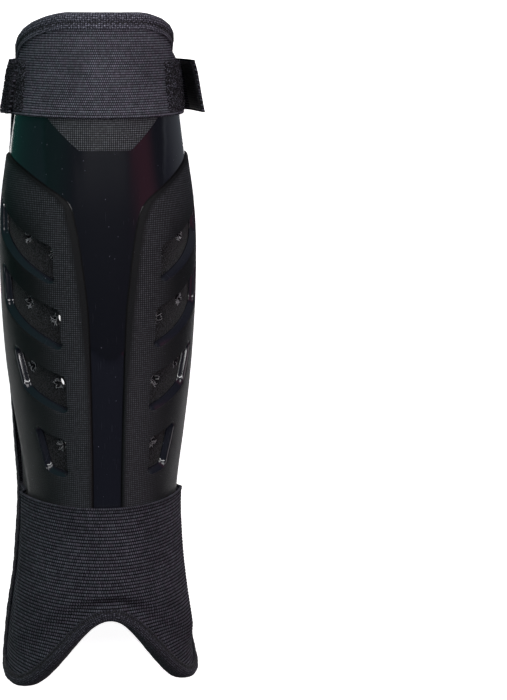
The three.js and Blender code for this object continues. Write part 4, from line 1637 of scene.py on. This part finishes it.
@dataclass
class RibbedSheet:
    """Ribbed elastic cloth over one end of the guard."""

    shop: Workshop
    columns: int = 108
    side_at: float = 0.985
    thickness: float = 1.05
    rib_depth: float = 0.3

    def sides(self) -> Array:
        """Sides of the columns."""
        return np.linspace(-self.side_at, self.side_at, self.columns)

    def make(self, name: str, rows: Array, low: Array, high: Array, finish: RibbedElastic,
             roll: Callable[[Array], Array], weight: Callable[[Array], Array]) -> Piece:
        """Makes the cloth.

        Args:
            name: The piece's name.
            rows: Heights of its rows.
            low: Height of its lower edge at each column.
            high: Height of its upper edge at each column.
            finish: Its finish, with the pitch of its ribs.
            roll: Height of its hem above the cloth, by height.
            weight: Weight of its ribs, by height.

        Returns:
            The cloth as one closed piece, ribbed.
        """
        form = self.shop.form
        side, height, faces = clipped_grid(self.sides(), rows, low, high)
        angle = side * form.edge_angle(height)
        rest = form.cloth_lift(side, height)
        wave = 0.1 * np.sin(angle * 11.0 + height * 0.09) * np.sin(height * 0.17 + 1.0)
        outer = form.lifted(angle, height, rest + self.thickness + roll(height) + wave)
        inner = form.lifted(angle, height, rest + 0.1)
        for face in (outer, inner):
            face[:, 2] = np.maximum(face[:, 2], 0.0)
        laid = np.column_stack([angle * form.arc, height])
        marks = {"rib_at": height * MM, "rib_weight": weight(height)}
        made = self.shop.sheet(name, outer, inner, faces, finish, laid, marks)
        return self.shop.ribs.run(made, finish, Pitch=finish.pitch * MM, Depth=self.rib_depth * MM)


@dataclass
class TopCover(RibbedSheet):
    """Ribbed cover over the knee end, with a rolled hem."""

    hem: float = 285.0
    hem_height: float = 3.2
    end_inset: float = 1.0
    flat: tuple[float, float] = (0.176, 0.052)

    def build(self) -> None:
        """Makes the cover and the stitches of its hem."""
        form = self.shop.form
        sides = self.sides()
        hem_rows = np.arange(self.hem, self.hem + self.hem_height, 0.2)[1:]
        rows = np.concatenate([hem_rows, rib_rows(self.hem + self.hem_height, form.length, COVER_RIB.pitch)])
        low = np.full(len(sides), self.hem)
        high = form.upper_edge(sides) - self.end_inset
        made = self.make("top_cover_cloth", rows, low, high, COVER_RIB, self._roll, self._weight)
        self.shop.settle(made, "ribbed_elastic", "top_cover")
        row = self._row(self.hem + self.hem_height / 2)
        stitches = self.shop.sew("cover_hem_stitches", [row], THREAD, "ribbed_elastic", 2.1, 1.5, thread=0.13)

    def _roll(self, height: Array) -> Array:
        """Two soft rolls of the hem, with a groove between them."""
        part = (height - self.hem) / self.hem_height
        rolls = np.abs(np.sin(2 * math.pi * np.clip(part, 0, 1))) ** 0.6
        return np.where(part < 1, 0.12 + 0.42 * rolls, 0.0)

    def _weight(self, height: Array) -> Array:
        """Ribs start above the hem."""
        return smoothstep(height, self.hem + self.hem_height - 0.1, self.hem + self.hem_height + 0.4)

    def _row(self, height: float) -> tuple[Array, Array]:
        """Line of the hem's stitches with the directions of the cloth."""
        form = self.shop.form
        side = np.linspace(-0.93, 0.93, 160)
        level = np.full(len(side), height)
        angle = side * form.edge_angle(level)
        lift = form.cloth_lift(side, level) + self.thickness + 0.16
        return form.lifted(angle, level, lift), form.outward(angle, level)


@dataclass
class AnkleSleeve(RibbedSheet):
    """Ribbed sleeve over the foot of the shell, down to the arch."""

    top: float = 100.0
    fold: float = 1.8
    end_inset: float = 1.0
    flat: tuple[float, float] = (0.192, 0.101)
    area: float = 0.0155

    def build(self) -> None:
        """Makes the sleeve."""
        form = self.shop.form
        sides = self.sides()
        rows = rib_rows(0.5, self.top - 0.3, SLEEVE_RIB.pitch)
        low = form.lower_edge(sides) + self.end_inset
        high = np.full(len(sides), self.top)
        made = self.make("ankle_sleeve_cloth", rows, low, high, SLEEVE_RIB, self._roll, self._weight)
        self.shop.settle(made, "ribbed_elastic", "ankle_sleeve")

    def _roll(self, height: Array) -> Array:
        """Folded upper edge, a little thicker than the cloth."""
        return 0.35 * smoothstep(height, self.top - self.fold, self.top - 0.6 * self.fold)

    def _weight(self, height: Array) -> Array:
        """Ribs run out in the fold of the upper edge."""
        return 1 - 0.6 * smoothstep(height, self.top - 0.6, self.top - 0.1)


@dataclass
class EdgeBinding:
    """Knit tape folded over the liner's whole edge: a padded roll, a sewn groove and a flap on each face."""

    shop: Workshop
    step: float = 1.35
    groove_at: float = -3.2
    back_groove_at: float = -4.6
    tape_width: float = 0.027
    front: tuple[tuple[float, float], ...] = (
        (-6.0, 1.62), (-6.2, 1.85), (-5.9, 2.1), (-5.2, 2.28), (-4.2, 2.34), (-3.6, 2.2), (-3.2, 2.08),
        (-2.8, 2.3), (-2.2, 2.78), (-1.4, 3.12), (-0.5, 3.14), (0.4, 2.8), (1.1, 2.1), (1.55, 1.0),
        (1.75, -0.6), (1.75, -2.6), (1.5, -4.3), (1.0, -5.6), (0.1, -6.6), (-1.2, -7.1), (-2.6, -7.2),
        (-3.7, -6.95), (-4.6, -6.6), (-5.3, -6.85), (-6.4, -6.95), (-7.4, -6.7), (-7.8, -6.2), (-7.5, -5.6),
    )
    slot_corners: tuple[tuple[float, float], ...] = (
        (-5.0, -5.4), (-2.0, -5.4), (0.35, -5.35), (0.45, -3.0), (0.45, -0.5), (0.4, 1.6), (-2.0, 1.65),
        (-4.5, 1.7),
    )
    swells: tuple[tuple[float, float], ...] = ((0.1, 0.55), (0.12, 1.7), (0.16, 9.0))
    flap_rows: tuple[float, float] = (60.0, 110.0)

    def _stations(self) -> tuple[Array, Array, Array]:
        """Points of the liner's edge, with the directions off its face and out past the edge."""
        form = self.shop.form
        side, height = form.outline(self.step)
        angle = side * form.edge_angle(height)
        point, normal = form.skin(angle, height), form.outward(angle, height)
        return point, normal, unit(np.cross(past_points(point), normal))

    def build(self) -> None:
        """Makes the binding and its stitches."""
        point, normal, out = self._stations()
        section = np.array(self.front + self.slot_corners)
        count, corners = len(point), len(section)
        way = np.linspace(0, 1, count, endpoint=False) * count * self.step
        chance = np.random.default_rng(11)
        swell = sum(size * np.sin(way / pitch + chance.uniform(0, 6)) for size, pitch in self.swells)
        on_roll = np.exp(-(((section[:, 0] + 0.6) / 1.9) ** 2))
        shown = np.arange(corners) < len(self.front)
        grown = swell[:, None] * (on_roll * shown)[None, :]
        back_flap = (section[:, 1] < -5.5) & (section[:, 0] < -5.0)
        wavy = 0.5 * np.sin(way / 4.3 + 1.5 * np.sin(way / 11.0))
        front_flap = shown & (section[:, 0] < self.groove_at) & (section[:, 1] > 0)
        drawn_in = 0.55 * (1 - smoothstep(point[:, 1], *self.flap_rows))
        shorter = np.where(front_flap, self.groove_at - section[:, 0], 0.0)
        reach = section[None, :, 0] + grown * 0.6 + wavy[:, None] * back_flap[None, :]
        reach = reach + drawn_in[:, None] * shorter[None, :]
        lift = section[None, :, 1] + grown * np.sign(section[None, :, 1] + 2.0) * 0.7
        ring = point[:, None] + out[:, None] * reach[..., None] + normal[:, None] * lift[..., None]
        points = ring.reshape(-1, 3)
        points[:, 2] = np.maximum(points[:, 2], 0.0)
        faces = []
        for s in range(count):
            here, there = s * corners, (s + 1) % count * corners
            for k in range(corners):
                nxt = (k + 1) % corners
                faces.append((here + k, here + nxt, there + nxt, there + k))
        laid = np.column_stack([np.repeat(way, corners), np.tile(way_along(section), count)])
        made = self.shop.piece("edge_binding_tape", points, faces, TAPE, laid)
        made.data.set_sharp_from_angle(angle=math.radians(60))
        self.shop.settle(made, "binding_tape", "edge_binding")
        stitches = [
            self._sew("binding_front_stitches", point, normal, out, self.groove_at, 2.34, 1.0),
            self._sew("binding_back_stitches", point, normal, out, self.back_groove_at, -6.74, -1.0),
        ]
        length = float(np.linalg.norm(np.roll(point, -1, axis=0) - point, axis=1).sum()) * MM

    def _sew(self, name: str, point: Array, normal: Array, out: Array, reach: float, lift: float,
             way: float) -> Piece:
        """Zigzag along the binding's groove.

        Args:
            name: Name of the stitches.
            point: Points of the liner's edge.
            normal: Directions off the liner's face.
            out: Directions out past the edge.
            reach: Distance of the row past the edge.
            lift: Lift of the row.
            way: 1 on the front face and -1 on the back face.

        Returns:
            The stitches.
        """
        line = point + out * reach + normal * lift
        above = line[:, 2] > 0.9
        start = int(np.argmin(above))
        order = np.roll(np.arange(len(line)), -start)
        rows, run = [], []
        for k in order:
            if above[k]:
                run.append(k)
            elif len(run) > 3:
                rows.append((line[run], normal[run] * way))
                run = []
        if len(run) > 3:
            rows.append((line[run], normal[run] * way))
        return self.shop.sew(name, rows, THREAD, "binding_tape", 1.5, 2.2, thread=0.17, slant=0.75,
                             jitter=0.3)


class StrapRoute:
    """Route of the middle of the strap at its level, from the free end on the right round both side edges."""

    STOPS = (
        (48.2, 33.5), (47.4, 26), (46.2, 16), (44.6, 8), (41, 2.2), (36, 0.8), (30.4, 0.9), (26.6, 4.2),
        (26, 12), (26.4, 24), (23, 38), (16.6, 48.4), (8, 54.8), (-2, 55.6), (-11, 52), (-14.5, 45),
        (-11, 38), (-2, 32), (7, 26), (11.5, 18), (9, 10), (0, 5.6), (-14, 3), (-26, 1.4), (-36, 0.8),
        (-41, 2.2), (-44.6, 8), (-46, 16), (-45.6, 25), (-43.6, 33.5),
    )

    def __init__(self) -> None:
        """Works out a close line along the route and its length."""
        stops = np.array(self.STOPS, float)
        stops = np.vstack([2 * stops[0] - stops[1], stops, 2 * stops[-1] - stops[-2]])
        spans = [self._span(*stops[k : k + 4]) for k in range(len(stops) - 3)]
        self.line = np.vstack([*spans, stops[-2:-1]])
        self.way = way_along(self.line)
        self.length = float(self.way[-1])

    @staticmethod
    def _span(before: Array, start: Array, end: Array, after: Array) -> Array:
        """Points of one span of a centripetal curve through four stops."""
        steps = (start - before, end - start, after - end)
        d0, d1, d2 = (math.sqrt(np.linalg.norm(step)) for step in steps)
        leave = ((start - before) / d0 - (end - before) / (d0 + d1) + (end - start) / d1) * d1
        reach = ((end - start) / d1 - (after - start) / (d1 + d2) + (after - end) / d2) * d1
        t = np.linspace(0, 1, 24, endpoint=False)[:, None]
        ends = start * (1 + 2 * t) * (1 - t) ** 2 + end * t * t * (3 - 2 * t)
        return ends + leave * t * (1 - t) ** 2 - reach * t * t * (1 - t)

    def _read(self, way: Array) -> Array:
        """Points of the route, as X and Z."""
        return np.column_stack([np.interp(way, self.way, self.line[:, k]) for k in (0, 1)])

    def at(self, way: Array) -> tuple[Array, Array]:
        """Reads the route.

        Args:
            way: Distances along it from the free end.

        Returns:
            The points, as X and Z, and the directions towards the guard.
        """
        run = self._read(np.minimum(way + 0.6, self.length)) - self._read(np.maximum(way - 0.6, 0.0))
        run = unit(run)
        return self._read(way), np.column_stack([run[:, 1], -run[:, 0]])


@dataclass
class CalfStrap:
    """Elastic strap from side to side, with a hook patch sewn on each end."""

    shop: Workshop
    route: StrapRoute = field(default_factory=StrapRoute)
    width: float = 25.0
    thickness: float = 1.2
    snug: float = 3.1
    splay: float = 0.07
    curl: float = 0.012
    curl_from: float = 4.0
    lean_from: tuple[float, float] = (20.0, 34.0)
    splay_from: tuple[float, float] = (38.0, 45.0)
    snug_from: tuple[float, float] = (38.0, 44.0)
    middle: float = 298.5
    step: float = 1.6
    rib_depth: float = 0.22
    hook_width: float = 23.0
    hook_inset: float = 1.5
    hook_length: float = 20.0
    hook_pitch: float = 1.15
    pile_length: float = 34.0
    rib_reach: float = 12.3

    def _points(self, way: Array, across: Array, offset: float | Array) -> Array:
        """Points of the strap.

        Args:
            way: Distances along the route.
            across: Distances from the strap's middle, along Y.
            offset: Distances from its middle face, towards the guard.

        Returns:
            The points on the guard.
        """
        form = self.shop.form
        place, towards = self.route.at(way)
        level = self.middle + across
        lean = form.column(Section.HALF_WIDTH, level) - form.column(Section.HALF_WIDTH, np.array(self.middle))
        on_side = smoothstep(np.abs(place[:, 0]), *self.lean_from) * np.sign(place[:, 0])
        outer = smoothstep(np.abs(place[:, 0]), *self.splay_from) * np.sign(place[:, 0])
        drawn = self.splay * across + self.curl * np.maximum(across - self.curl_from, 0.0) ** 2
        snug = self.snug * smoothstep(-place[:, 0], *self.snug_from)
        x = place[:, 0] + towards[:, 0] * offset + lean * on_side + snug - drawn * outer
        z = place[:, 1] + towards[:, 1] * offset
        return np.column_stack([x, level, np.maximum(z, 0.0)])

    def _band(self, name: str, way: Array, across: Array, offsets: tuple[float | Array, float | Array],
              finish: Finish, marks: Marks | None = None) -> Piece:
        """Makes a thin closed strip that follows the strap.

        Args:
            name: The strip's name.
            way: Distances of its columns along the route.
            across: Distances of its rows from the strap's middle.
            offsets: Distances of its two faces from the strap's middle face, towards the guard.
            finish: Its finish.
            marks: Values that its points carry, those of the first face first.

        Returns:
            The strip, with its faces turned outward.
        """
        ways, rows, faces = spread(way, across)
        faces = flipped(faces)
        first, second = (self._points(ways, rows, offset) for offset in offsets)
        points, closed = closed_sheet(first, second, faces)
        a, b, c = (first[i] for i in faces[0][:3])
        if np.dot(np.cross(b - a, c - a), second[faces[0][0]] - a) > 0:
            closed = flipped(closed)
        laid = np.column_stack([ways, rows])
        return self.shop.piece(name, points, closed, finish, np.vstack([laid, laid]), marks)

    def build(self) -> None:
        """Makes the strap, its hook patches, the stitches that hold them and the pile of its left end."""
        half_width, length = self.width / 2, self.route.length
        rows = rib_rows(-half_width, half_width, STRAP_RIB.pitch)
        rows = np.concatenate([[-half_width], rows[np.abs(rows) < self.rib_reach], [half_width]])
        stations = np.linspace(0, length, int(length / self.step))
        way, across, _ = spread(stations, rows)
        selvedge = smoothstep(np.abs(across), half_width - 1.3, half_width - 0.5)
        half = self.thickness / 2 + 0.1 * selvedge
        weight = (1 - 0.7 * selvedge) * smoothstep(way, 0.0, 0.8)
        weight = weight * smoothstep(-way, -length, 0.8 - length)
        marks = {"rib_at": np.tile(across * MM, 2), "rib_weight": np.tile(weight, 2)}
        strap = self._band("calf_strap_elastic", stations, rows, (half, -half), STRAP_RIB, marks)
        strap.data.set_sharp_from_angle(angle=math.radians(50))
        self.shop.ribs.run(strap, STRAP_RIB, Pitch=STRAP_RIB.pitch * MM, Depth=self.rib_depth * MM)
        self.shop.settle(strap, "strap_elastic", "calf_strap")
        self._hook_patch("right", self.hook_inset)
        self._hook_patch("left", length - self.hook_inset - self.hook_length)
        stitches = self._box_stitches()
        self._pile_face()
        self.width * MM

    def _pile_face(self) -> None:
        """Makes the brushed loop face on the outside of the strap's left end."""
        way = np.linspace(self.route.length - self.pile_length, self.route.length - 0.3, 30)
        across = np.linspace(-self.width / 2 + 0.2, self.width / 2 - 0.2, 28)
        foot = -self.thickness / 2 - 0.02
        marks = {"pile": np.repeat([1.0, 0.0], len(way) * len(across))}
        made = self._band("strap_left_pile", way, across, (foot - 0.25, foot), LOOPS, marks)
        self.shop.pile.run(made, LOOPS, Density=1.6e6, Height=0.7 * MM, Fibre=0.08 * MM, Seed=7)
        self.shop.settle(made, "loop_pile")

    def _row(self, way: Array, across: Array, offset: float) -> tuple[Array, Array]:
        """Line along the strap for stitches, with the directions off the face that it lies on."""
        _, towards = self.route.at(way)
        off = np.column_stack([towards[:, 0], np.zeros(len(way)), towards[:, 1]])
        return self._points(way, across, offset), off * math.copysign(1.0, offset)

    def _box_stitches(self) -> Piece:
        """Rectangles of stitches that hold the hook patches, on the strap's outer face."""
        lines = []
        reach = self.hook_width / 2 - 1.6
        first, last = self.hook_inset + 1, self.hook_inset + self.hook_length - 1
        for start, end in ((first, last), (self.route.length - last, self.route.length - first)):
            corners = ((start, -reach), (end, -reach), (end, reach), (start, reach), (start, -reach))
            for pair in zip(corners, corners[1:]):
                line = resampled(np.array(pair), 0.8)
                lines.append(self._row(line[:, 0], line[:, 1], -self.thickness / 2 - 0.02))
        return self.shop.sew("strap_box_stitches", lines, THREAD, "strap_elastic", 2.2, 1.6, thread=0.17)

    def _hook_patch(self, name: str, start: float) -> None:
        """Makes one hook patch: a thin tape with rows of small hooks.

        Args:
            name: Which side it is on.
            start: Where it starts along the route.
        """
        near = self.thickness / 2 + 0.05
        way = np.linspace(start, start + self.hook_length, 22)
        across = np.linspace(-self.hook_width / 2, self.hook_width / 2, 20)
        tape = self._band(f"hook_patch_{name}_tape", way, across, (near + 0.45, near), HOOKS)
        tape.data.set_sharp_from_angle(angle=math.radians(50))
        self.shop.settle(tape, "hook_tape", f"hook_patch_{name}")
        hooks = self._hooks(name, start, near + 0.42)
        self.hook_width * MM
        self.hook_length * MM

    def _hooks(self, name: str, start: float, foot: float) -> Piece:
        """Rows of hooks, which are sewn as stiff stitches that stand up on the tape.

        Args:
            name: Which side they are on.
            start: Where the patch starts along the route.
            foot: Offset of the tape's face.

        Returns:
            The hooks as one piece.
        """
        way = np.linspace(start + 0.8, start + self.hook_length - 0.8, 20)
        rows = np.arange(-self.hook_width / 2 + 0.9, self.hook_width / 2 - 0.6, self.hook_pitch)
        lines = [self._row(way, np.full(len(way), across), foot) for across in rows]
        return self.shop.sew(f"hook_patch_{name}_hooks", lines, HOOKS, "hook_tape", self.hook_pitch, 0.55,
                             thread=0.09, bow=0.42, slant=0.0, jitter=0.15)


@dataclass
class LoopPatch:
    """Soft loop patch sewn on one side of the cover."""

    shop: Workshop
    name: str
    way: int
    from_angle: float
    to_angle: float = 86.0
    height: float = 23.5
    middle: float = 298.5
    foot: float = 4.2
    pad: float = 0.7
    pile_height: float = 0.8
    density: float = 1.6e6
    radius: float = 46.0

    def build(self) -> None:
        """Makes the patch and its pile."""
        form = self.shop.form
        part, rise, faces = spread(np.linspace(0, 1, 34), np.linspace(-0.5, 0.5, 28))
        chance = np.random.default_rng(5 if self.way > 0 else 6)
        ragged = 0.012 * np.sin(rise * 37.0) + 0.01 * chance.standard_normal(len(part))
        part = part + np.where((part == 0) | (part == 1), ragged, 0.0)
        angle = self.way * np.radians(mix(self.from_angle, self.to_angle, part))
        level = self.middle + self.height * rise
        rim = np.minimum(np.minimum(part, 1 - part) * 26.0, (0.5 - np.abs(rise)) * self.height)
        crown = smoothstep(rim, -0.2, 2.2)
        outer = form.lifted(angle, level, self.foot + self.pad * (0.35 + 0.65 * crown))
        inner = form.lifted(angle, level, self.foot)
        faces = faces if self.way > 0 else flipped(faces)
        laid = np.column_stack([angle * form.arc, level])
        marks = {"pile": np.ones(len(angle))}
        made = self.shop.sheet(f"loop_patch_{self.name}_pad", outer, inner, faces, LOOPS, laid, marks)
        self.shop.settle(made, "loop_pile", f"loop_patch_{self.name}")
        pile = self.shop.sheet(f"loop_patch_{self.name}_pile", outer, inner, faces, LOOPS, laid, marks)
        sizes = {"Density": self.density, "Height": self.pile_height * MM, "Fibre": 0.08 * MM}
        self.shop.pile.run(pile, LOOPS, **sizes, Seed=3 if self.way > 0 else 4)
        self.shop.settle(pile, "loop_pile")
        width = math.radians(self.to_angle - self.from_angle) * self.radius * MM
        self.height * MM


@dataclass
class WovenLabel:
    """Small bare label sewn inside, below the strap."""

    shop: Workshop
    width: float = 24.0
    height: float = 12.0
    middle: float = -12.0
    low: float = 272.0
    lift: float = -6.3
    thickness: float = 0.7

    def build(self) -> None:
        """Makes the label and the stitches at its ends."""
        form = self.shop.form
        half = self.width / 2 / (form.column(Section.HALF_WIDTH, np.array(self.low)) - form.foam)
        part, rise, faces = spread(np.linspace(-1, 1, 40), np.linspace(0, 1, 22))
        angle = math.radians(self.middle) + half * part
        level = self.low + self.height * rise
        bars = 0.1 * np.abs(np.sin(rise * math.pi * 4)) + 0.08 * np.sin(part * 5.0)
        outer = form.lifted(angle, level, self.lift - self.thickness - bars)
        inner = form.lifted(angle, level, self.lift)
        laid = np.column_stack([part * self.width / 2, level])
        made = self.shop.sheet("woven_label_tape", outer, inner, flipped(faces), LABEL, laid)
        self.shop.settle(made, "label_weave", "woven_label")
        lines = []
        for end in (-0.92, 0.92):
            rows = np.linspace(self.low + 0.8, self.low + self.height - 0.8, 16)
            at = np.full(len(rows), math.radians(self.middle) + half * end)
            points = form.lifted(at, rows, self.lift - self.thickness - 0.12)
            lines.append((points, -form.outward(at, rows)))
        stitches = self.shop.sew("label_stitches", lines, THREAD, "label_weave", 1.8, 1.3, thread=0.13)
        self.width * MM
        self.height * MM


@dataclass(frozen=True)
class SoftBox:
    """A large soft lamp: where it hangs, what it points at, its size and its power in watts."""

    name: str
    place: tuple[float, float, float]
    aim: tuple[float, float, float]
    size: tuple[float, float]
    power: float

    def hang(self) -> None:
        """Hangs the lamp in the scene."""
        lamp = bpy.data.lights.new(self.name, "AREA")
        lamp.shape = "RECTANGLE"
        lamp.size, lamp.size_y = self.size
        lamp.energy = self.power
        made = bpy.data.objects.new(self.name, lamp)
        made.location = self.place
        made.rotation_euler = (Vector(self.aim) - Vector(self.place)).to_track_quat("-Z", "Y").to_euler()
        bpy.context.scene.collection.objects.link(made)


@dataclass
class Studio:
    """Pale floor, soft light, and the camera that looks down on the guard."""

    form: GuardForm
    target: tuple[float, float, float] = (0.0, 167.0, 40.0)
    target_pixel: tuple[float, float] = (103.0, 361.0)
    picture: tuple[float, float] = (507.0, 700.0)
    distance: float = 1.0
    tilt: float = 10.0
    roll: float = 5.5
    turn: float = 0.6
    focal_pixels: float = 2062.0
    sensor: float = 36.0
    lamps: tuple[SoftBox, ...] = (
        SoftBox("lamp_key", (0.0, 0.45, 1.22), (0, 0, 0.04), (1.6, 0.13), 9.6),
        SoftBox("lamp_knee", (0.0, 1.3, 1.0), (0, 0, 0.04), (1.4, 0.6), 9.0),
        SoftBox("lamp_side_left", (-1.25, -0.25, 0.35), (0, -0.05, 0.04), (0.5, 0.5), 0.9),
        SoftBox("lamp_side_right", (1.25, -0.25, 0.35), (0, -0.05, 0.04), (0.5, 0.5), 1.3),
    )

    def build(self) -> None:
        """Sets up the floor, the light and the camera."""
        self._floor()
        self._camera()
        for lamp in self.lamps:
            lamp.hang()
        self._air()
        bpy.context.scene.view_settings.view_transform = "Standard"

    @staticmethod
    def _air() -> None:
        """Dim room round the guard: green on the left, dull red and then pale on the right."""
        world = bpy.data.worlds.new("studio_air")
        world.use_nodes = True
        sketch = Sketch(world.node_tree)
        aside, _, up = sketch.parts(sketch.value("ShaderNodeTexCoord", out="Generated"))
        turn = aside.sum("ARCTAN2", aside, up) * (180 / math.pi)
        room = sketch.colour(turn.step(-35.0, -75.0), rgb(0.019, 0.023, 0.038), rgb(0.012, 0.085, 0.07))
        room = sketch.colour(turn.step(34.0, 56.0) * turn.step(88.0, 66.0), room, rgb(0.27, 0.062, 0.11))
        room = sketch.colour(turn.step(95.0, 130.0), room, rgb(0.12, 0.13, 0.15))
        background = world.node_tree.nodes["Background"]
        world.node_tree.links.new(room.socket, background.inputs["Color"])
        bpy.context.scene.world = world

    def _floor(self) -> None:
        """Lays the floor with its walls, and the paper under the guard, which its shiny sides mirror."""
        self._lay("studio_floor", (3.0, 3.0), 3.0, -0.0003, wall=4.0)
        self._lay("studio_paper", (0.105, 0.034), 0.19, -0.00015).visible_glossy = True

    @staticmethod
    def _lay(name: str, half: tuple[float, float], reach: float, level: float, wall: float = 0.0) -> Piece:
        """Lays a level sheet, with or without walls round it.

        Args:
            name: The sheet's name.
            half: Half its width at the foot end and at the knee end.
            reach: Half its length.
            level: Its height.
            wall: Height of the walls round it.

        Returns:
            The sheet, which lights nothing.
        """
        mesh = bpy.data.meshes.new(name)
        turns = ((-1, 0), (1, 0), (1, 1), (-1, 1))
        corners = [(side * half[end], (2 * end - 1) * reach, level) for side, end in turns]
        faces = [(0, 1, 2, 3)]
        if wall:
            corners += [(x, y, wall) for x, y, _ in corners]
            faces += [(k, k + 4, (k + 1) % 4 + 4, (k + 1) % 4) for k in range(4)]
        mesh.from_pydata(corners, [], faces)
        mesh.materials.append(FloorPaper("floor_paper").material())
        sheet = bpy.data.objects.new(name, mesh)
        bpy.context.scene.collection.objects.link(sheet)
        sheet.visible_glossy = False
        sheet.visible_diffuse = False
        sheet.visible_shadow = False
        return sheet

    def _camera(self) -> None:
        """Stands the camera over the guard, with the guard left of the picture's middle."""
        tilt, roll, turn = (math.radians(a) for a in (self.tilt, self.roll, self.turn))
        back = Vector((-math.sin(roll) * math.cos(tilt), math.sin(tilt), math.cos(roll) * math.cos(tilt)))
        right = Vector((0, 1, 0)).cross(back).normalized()
        up = back.cross(right)
        right, up = right * math.cos(turn) - up * math.sin(turn), up * math.cos(turn) + right * math.sin(turn)
        target = Vector(self.form.placed(np.array(self.target)))
        place = target + back * self.distance
        aside = (self.target_pixel[0] - self.picture[0] / 2) / self.focal_pixels * self.distance
        above = -(self.target_pixel[1] - self.picture[1] / 2) / self.focal_pixels * self.distance
        back = (place - target + right * aside + up * above).normalized()
        right = up.cross(back).normalized()
        up = back.cross(right)
        lens = bpy.data.cameras.new("studio_camera")
        lens.sensor_width = self.sensor
        lens.lens = self.sensor * self.focal_pixels / max(self.picture)
        lens.clip_start, lens.clip_end = 0.01, 20.0
        camera = bpy.data.objects.new("studio_camera", lens)
        pose = Matrix((right, up, back)).transposed().to_4x4()
        pose.translation = place
        camera.matrix_world = pose
        bpy.context.scene.collection.objects.link(camera)
        bpy.context.scene.camera = camera


def guard_origin() -> tuple[float, float]:
    """Where the guard's own origin is in the part's frame, read from two of its solids, in millimetres."""
    liner_low, liner_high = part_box("foam_liner")
    strap_low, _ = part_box("calf_strap")
    return ((liner_low.x + liner_high.x) / 2 / MM, strap_low.y / MM - GuardForm.strap_low)


def main() -> None:
    """Builds the guard piece by piece, and the studio round it."""
    logging.basicConfig(level=logging.INFO, format="%(name)s: %(message)s")
    form = GuardForm(guard_origin())
    Studio(form).build()
    shop = Workshop(form)
    FoamLiner(shop).build()
    ShinShell(shop).build()
    TopCover(shop).build()
    AnkleSleeve(shop).build()
    EdgeBinding(shop).build()
    CalfStrap(shop).build()
    LoopPatch(shop, "left", -1, 61.0).build()
    LoopPatch(shop, "right", 1, 46.0).build()
    WovenLabel(shop).build()


if __name__ == "__main__":
    main()
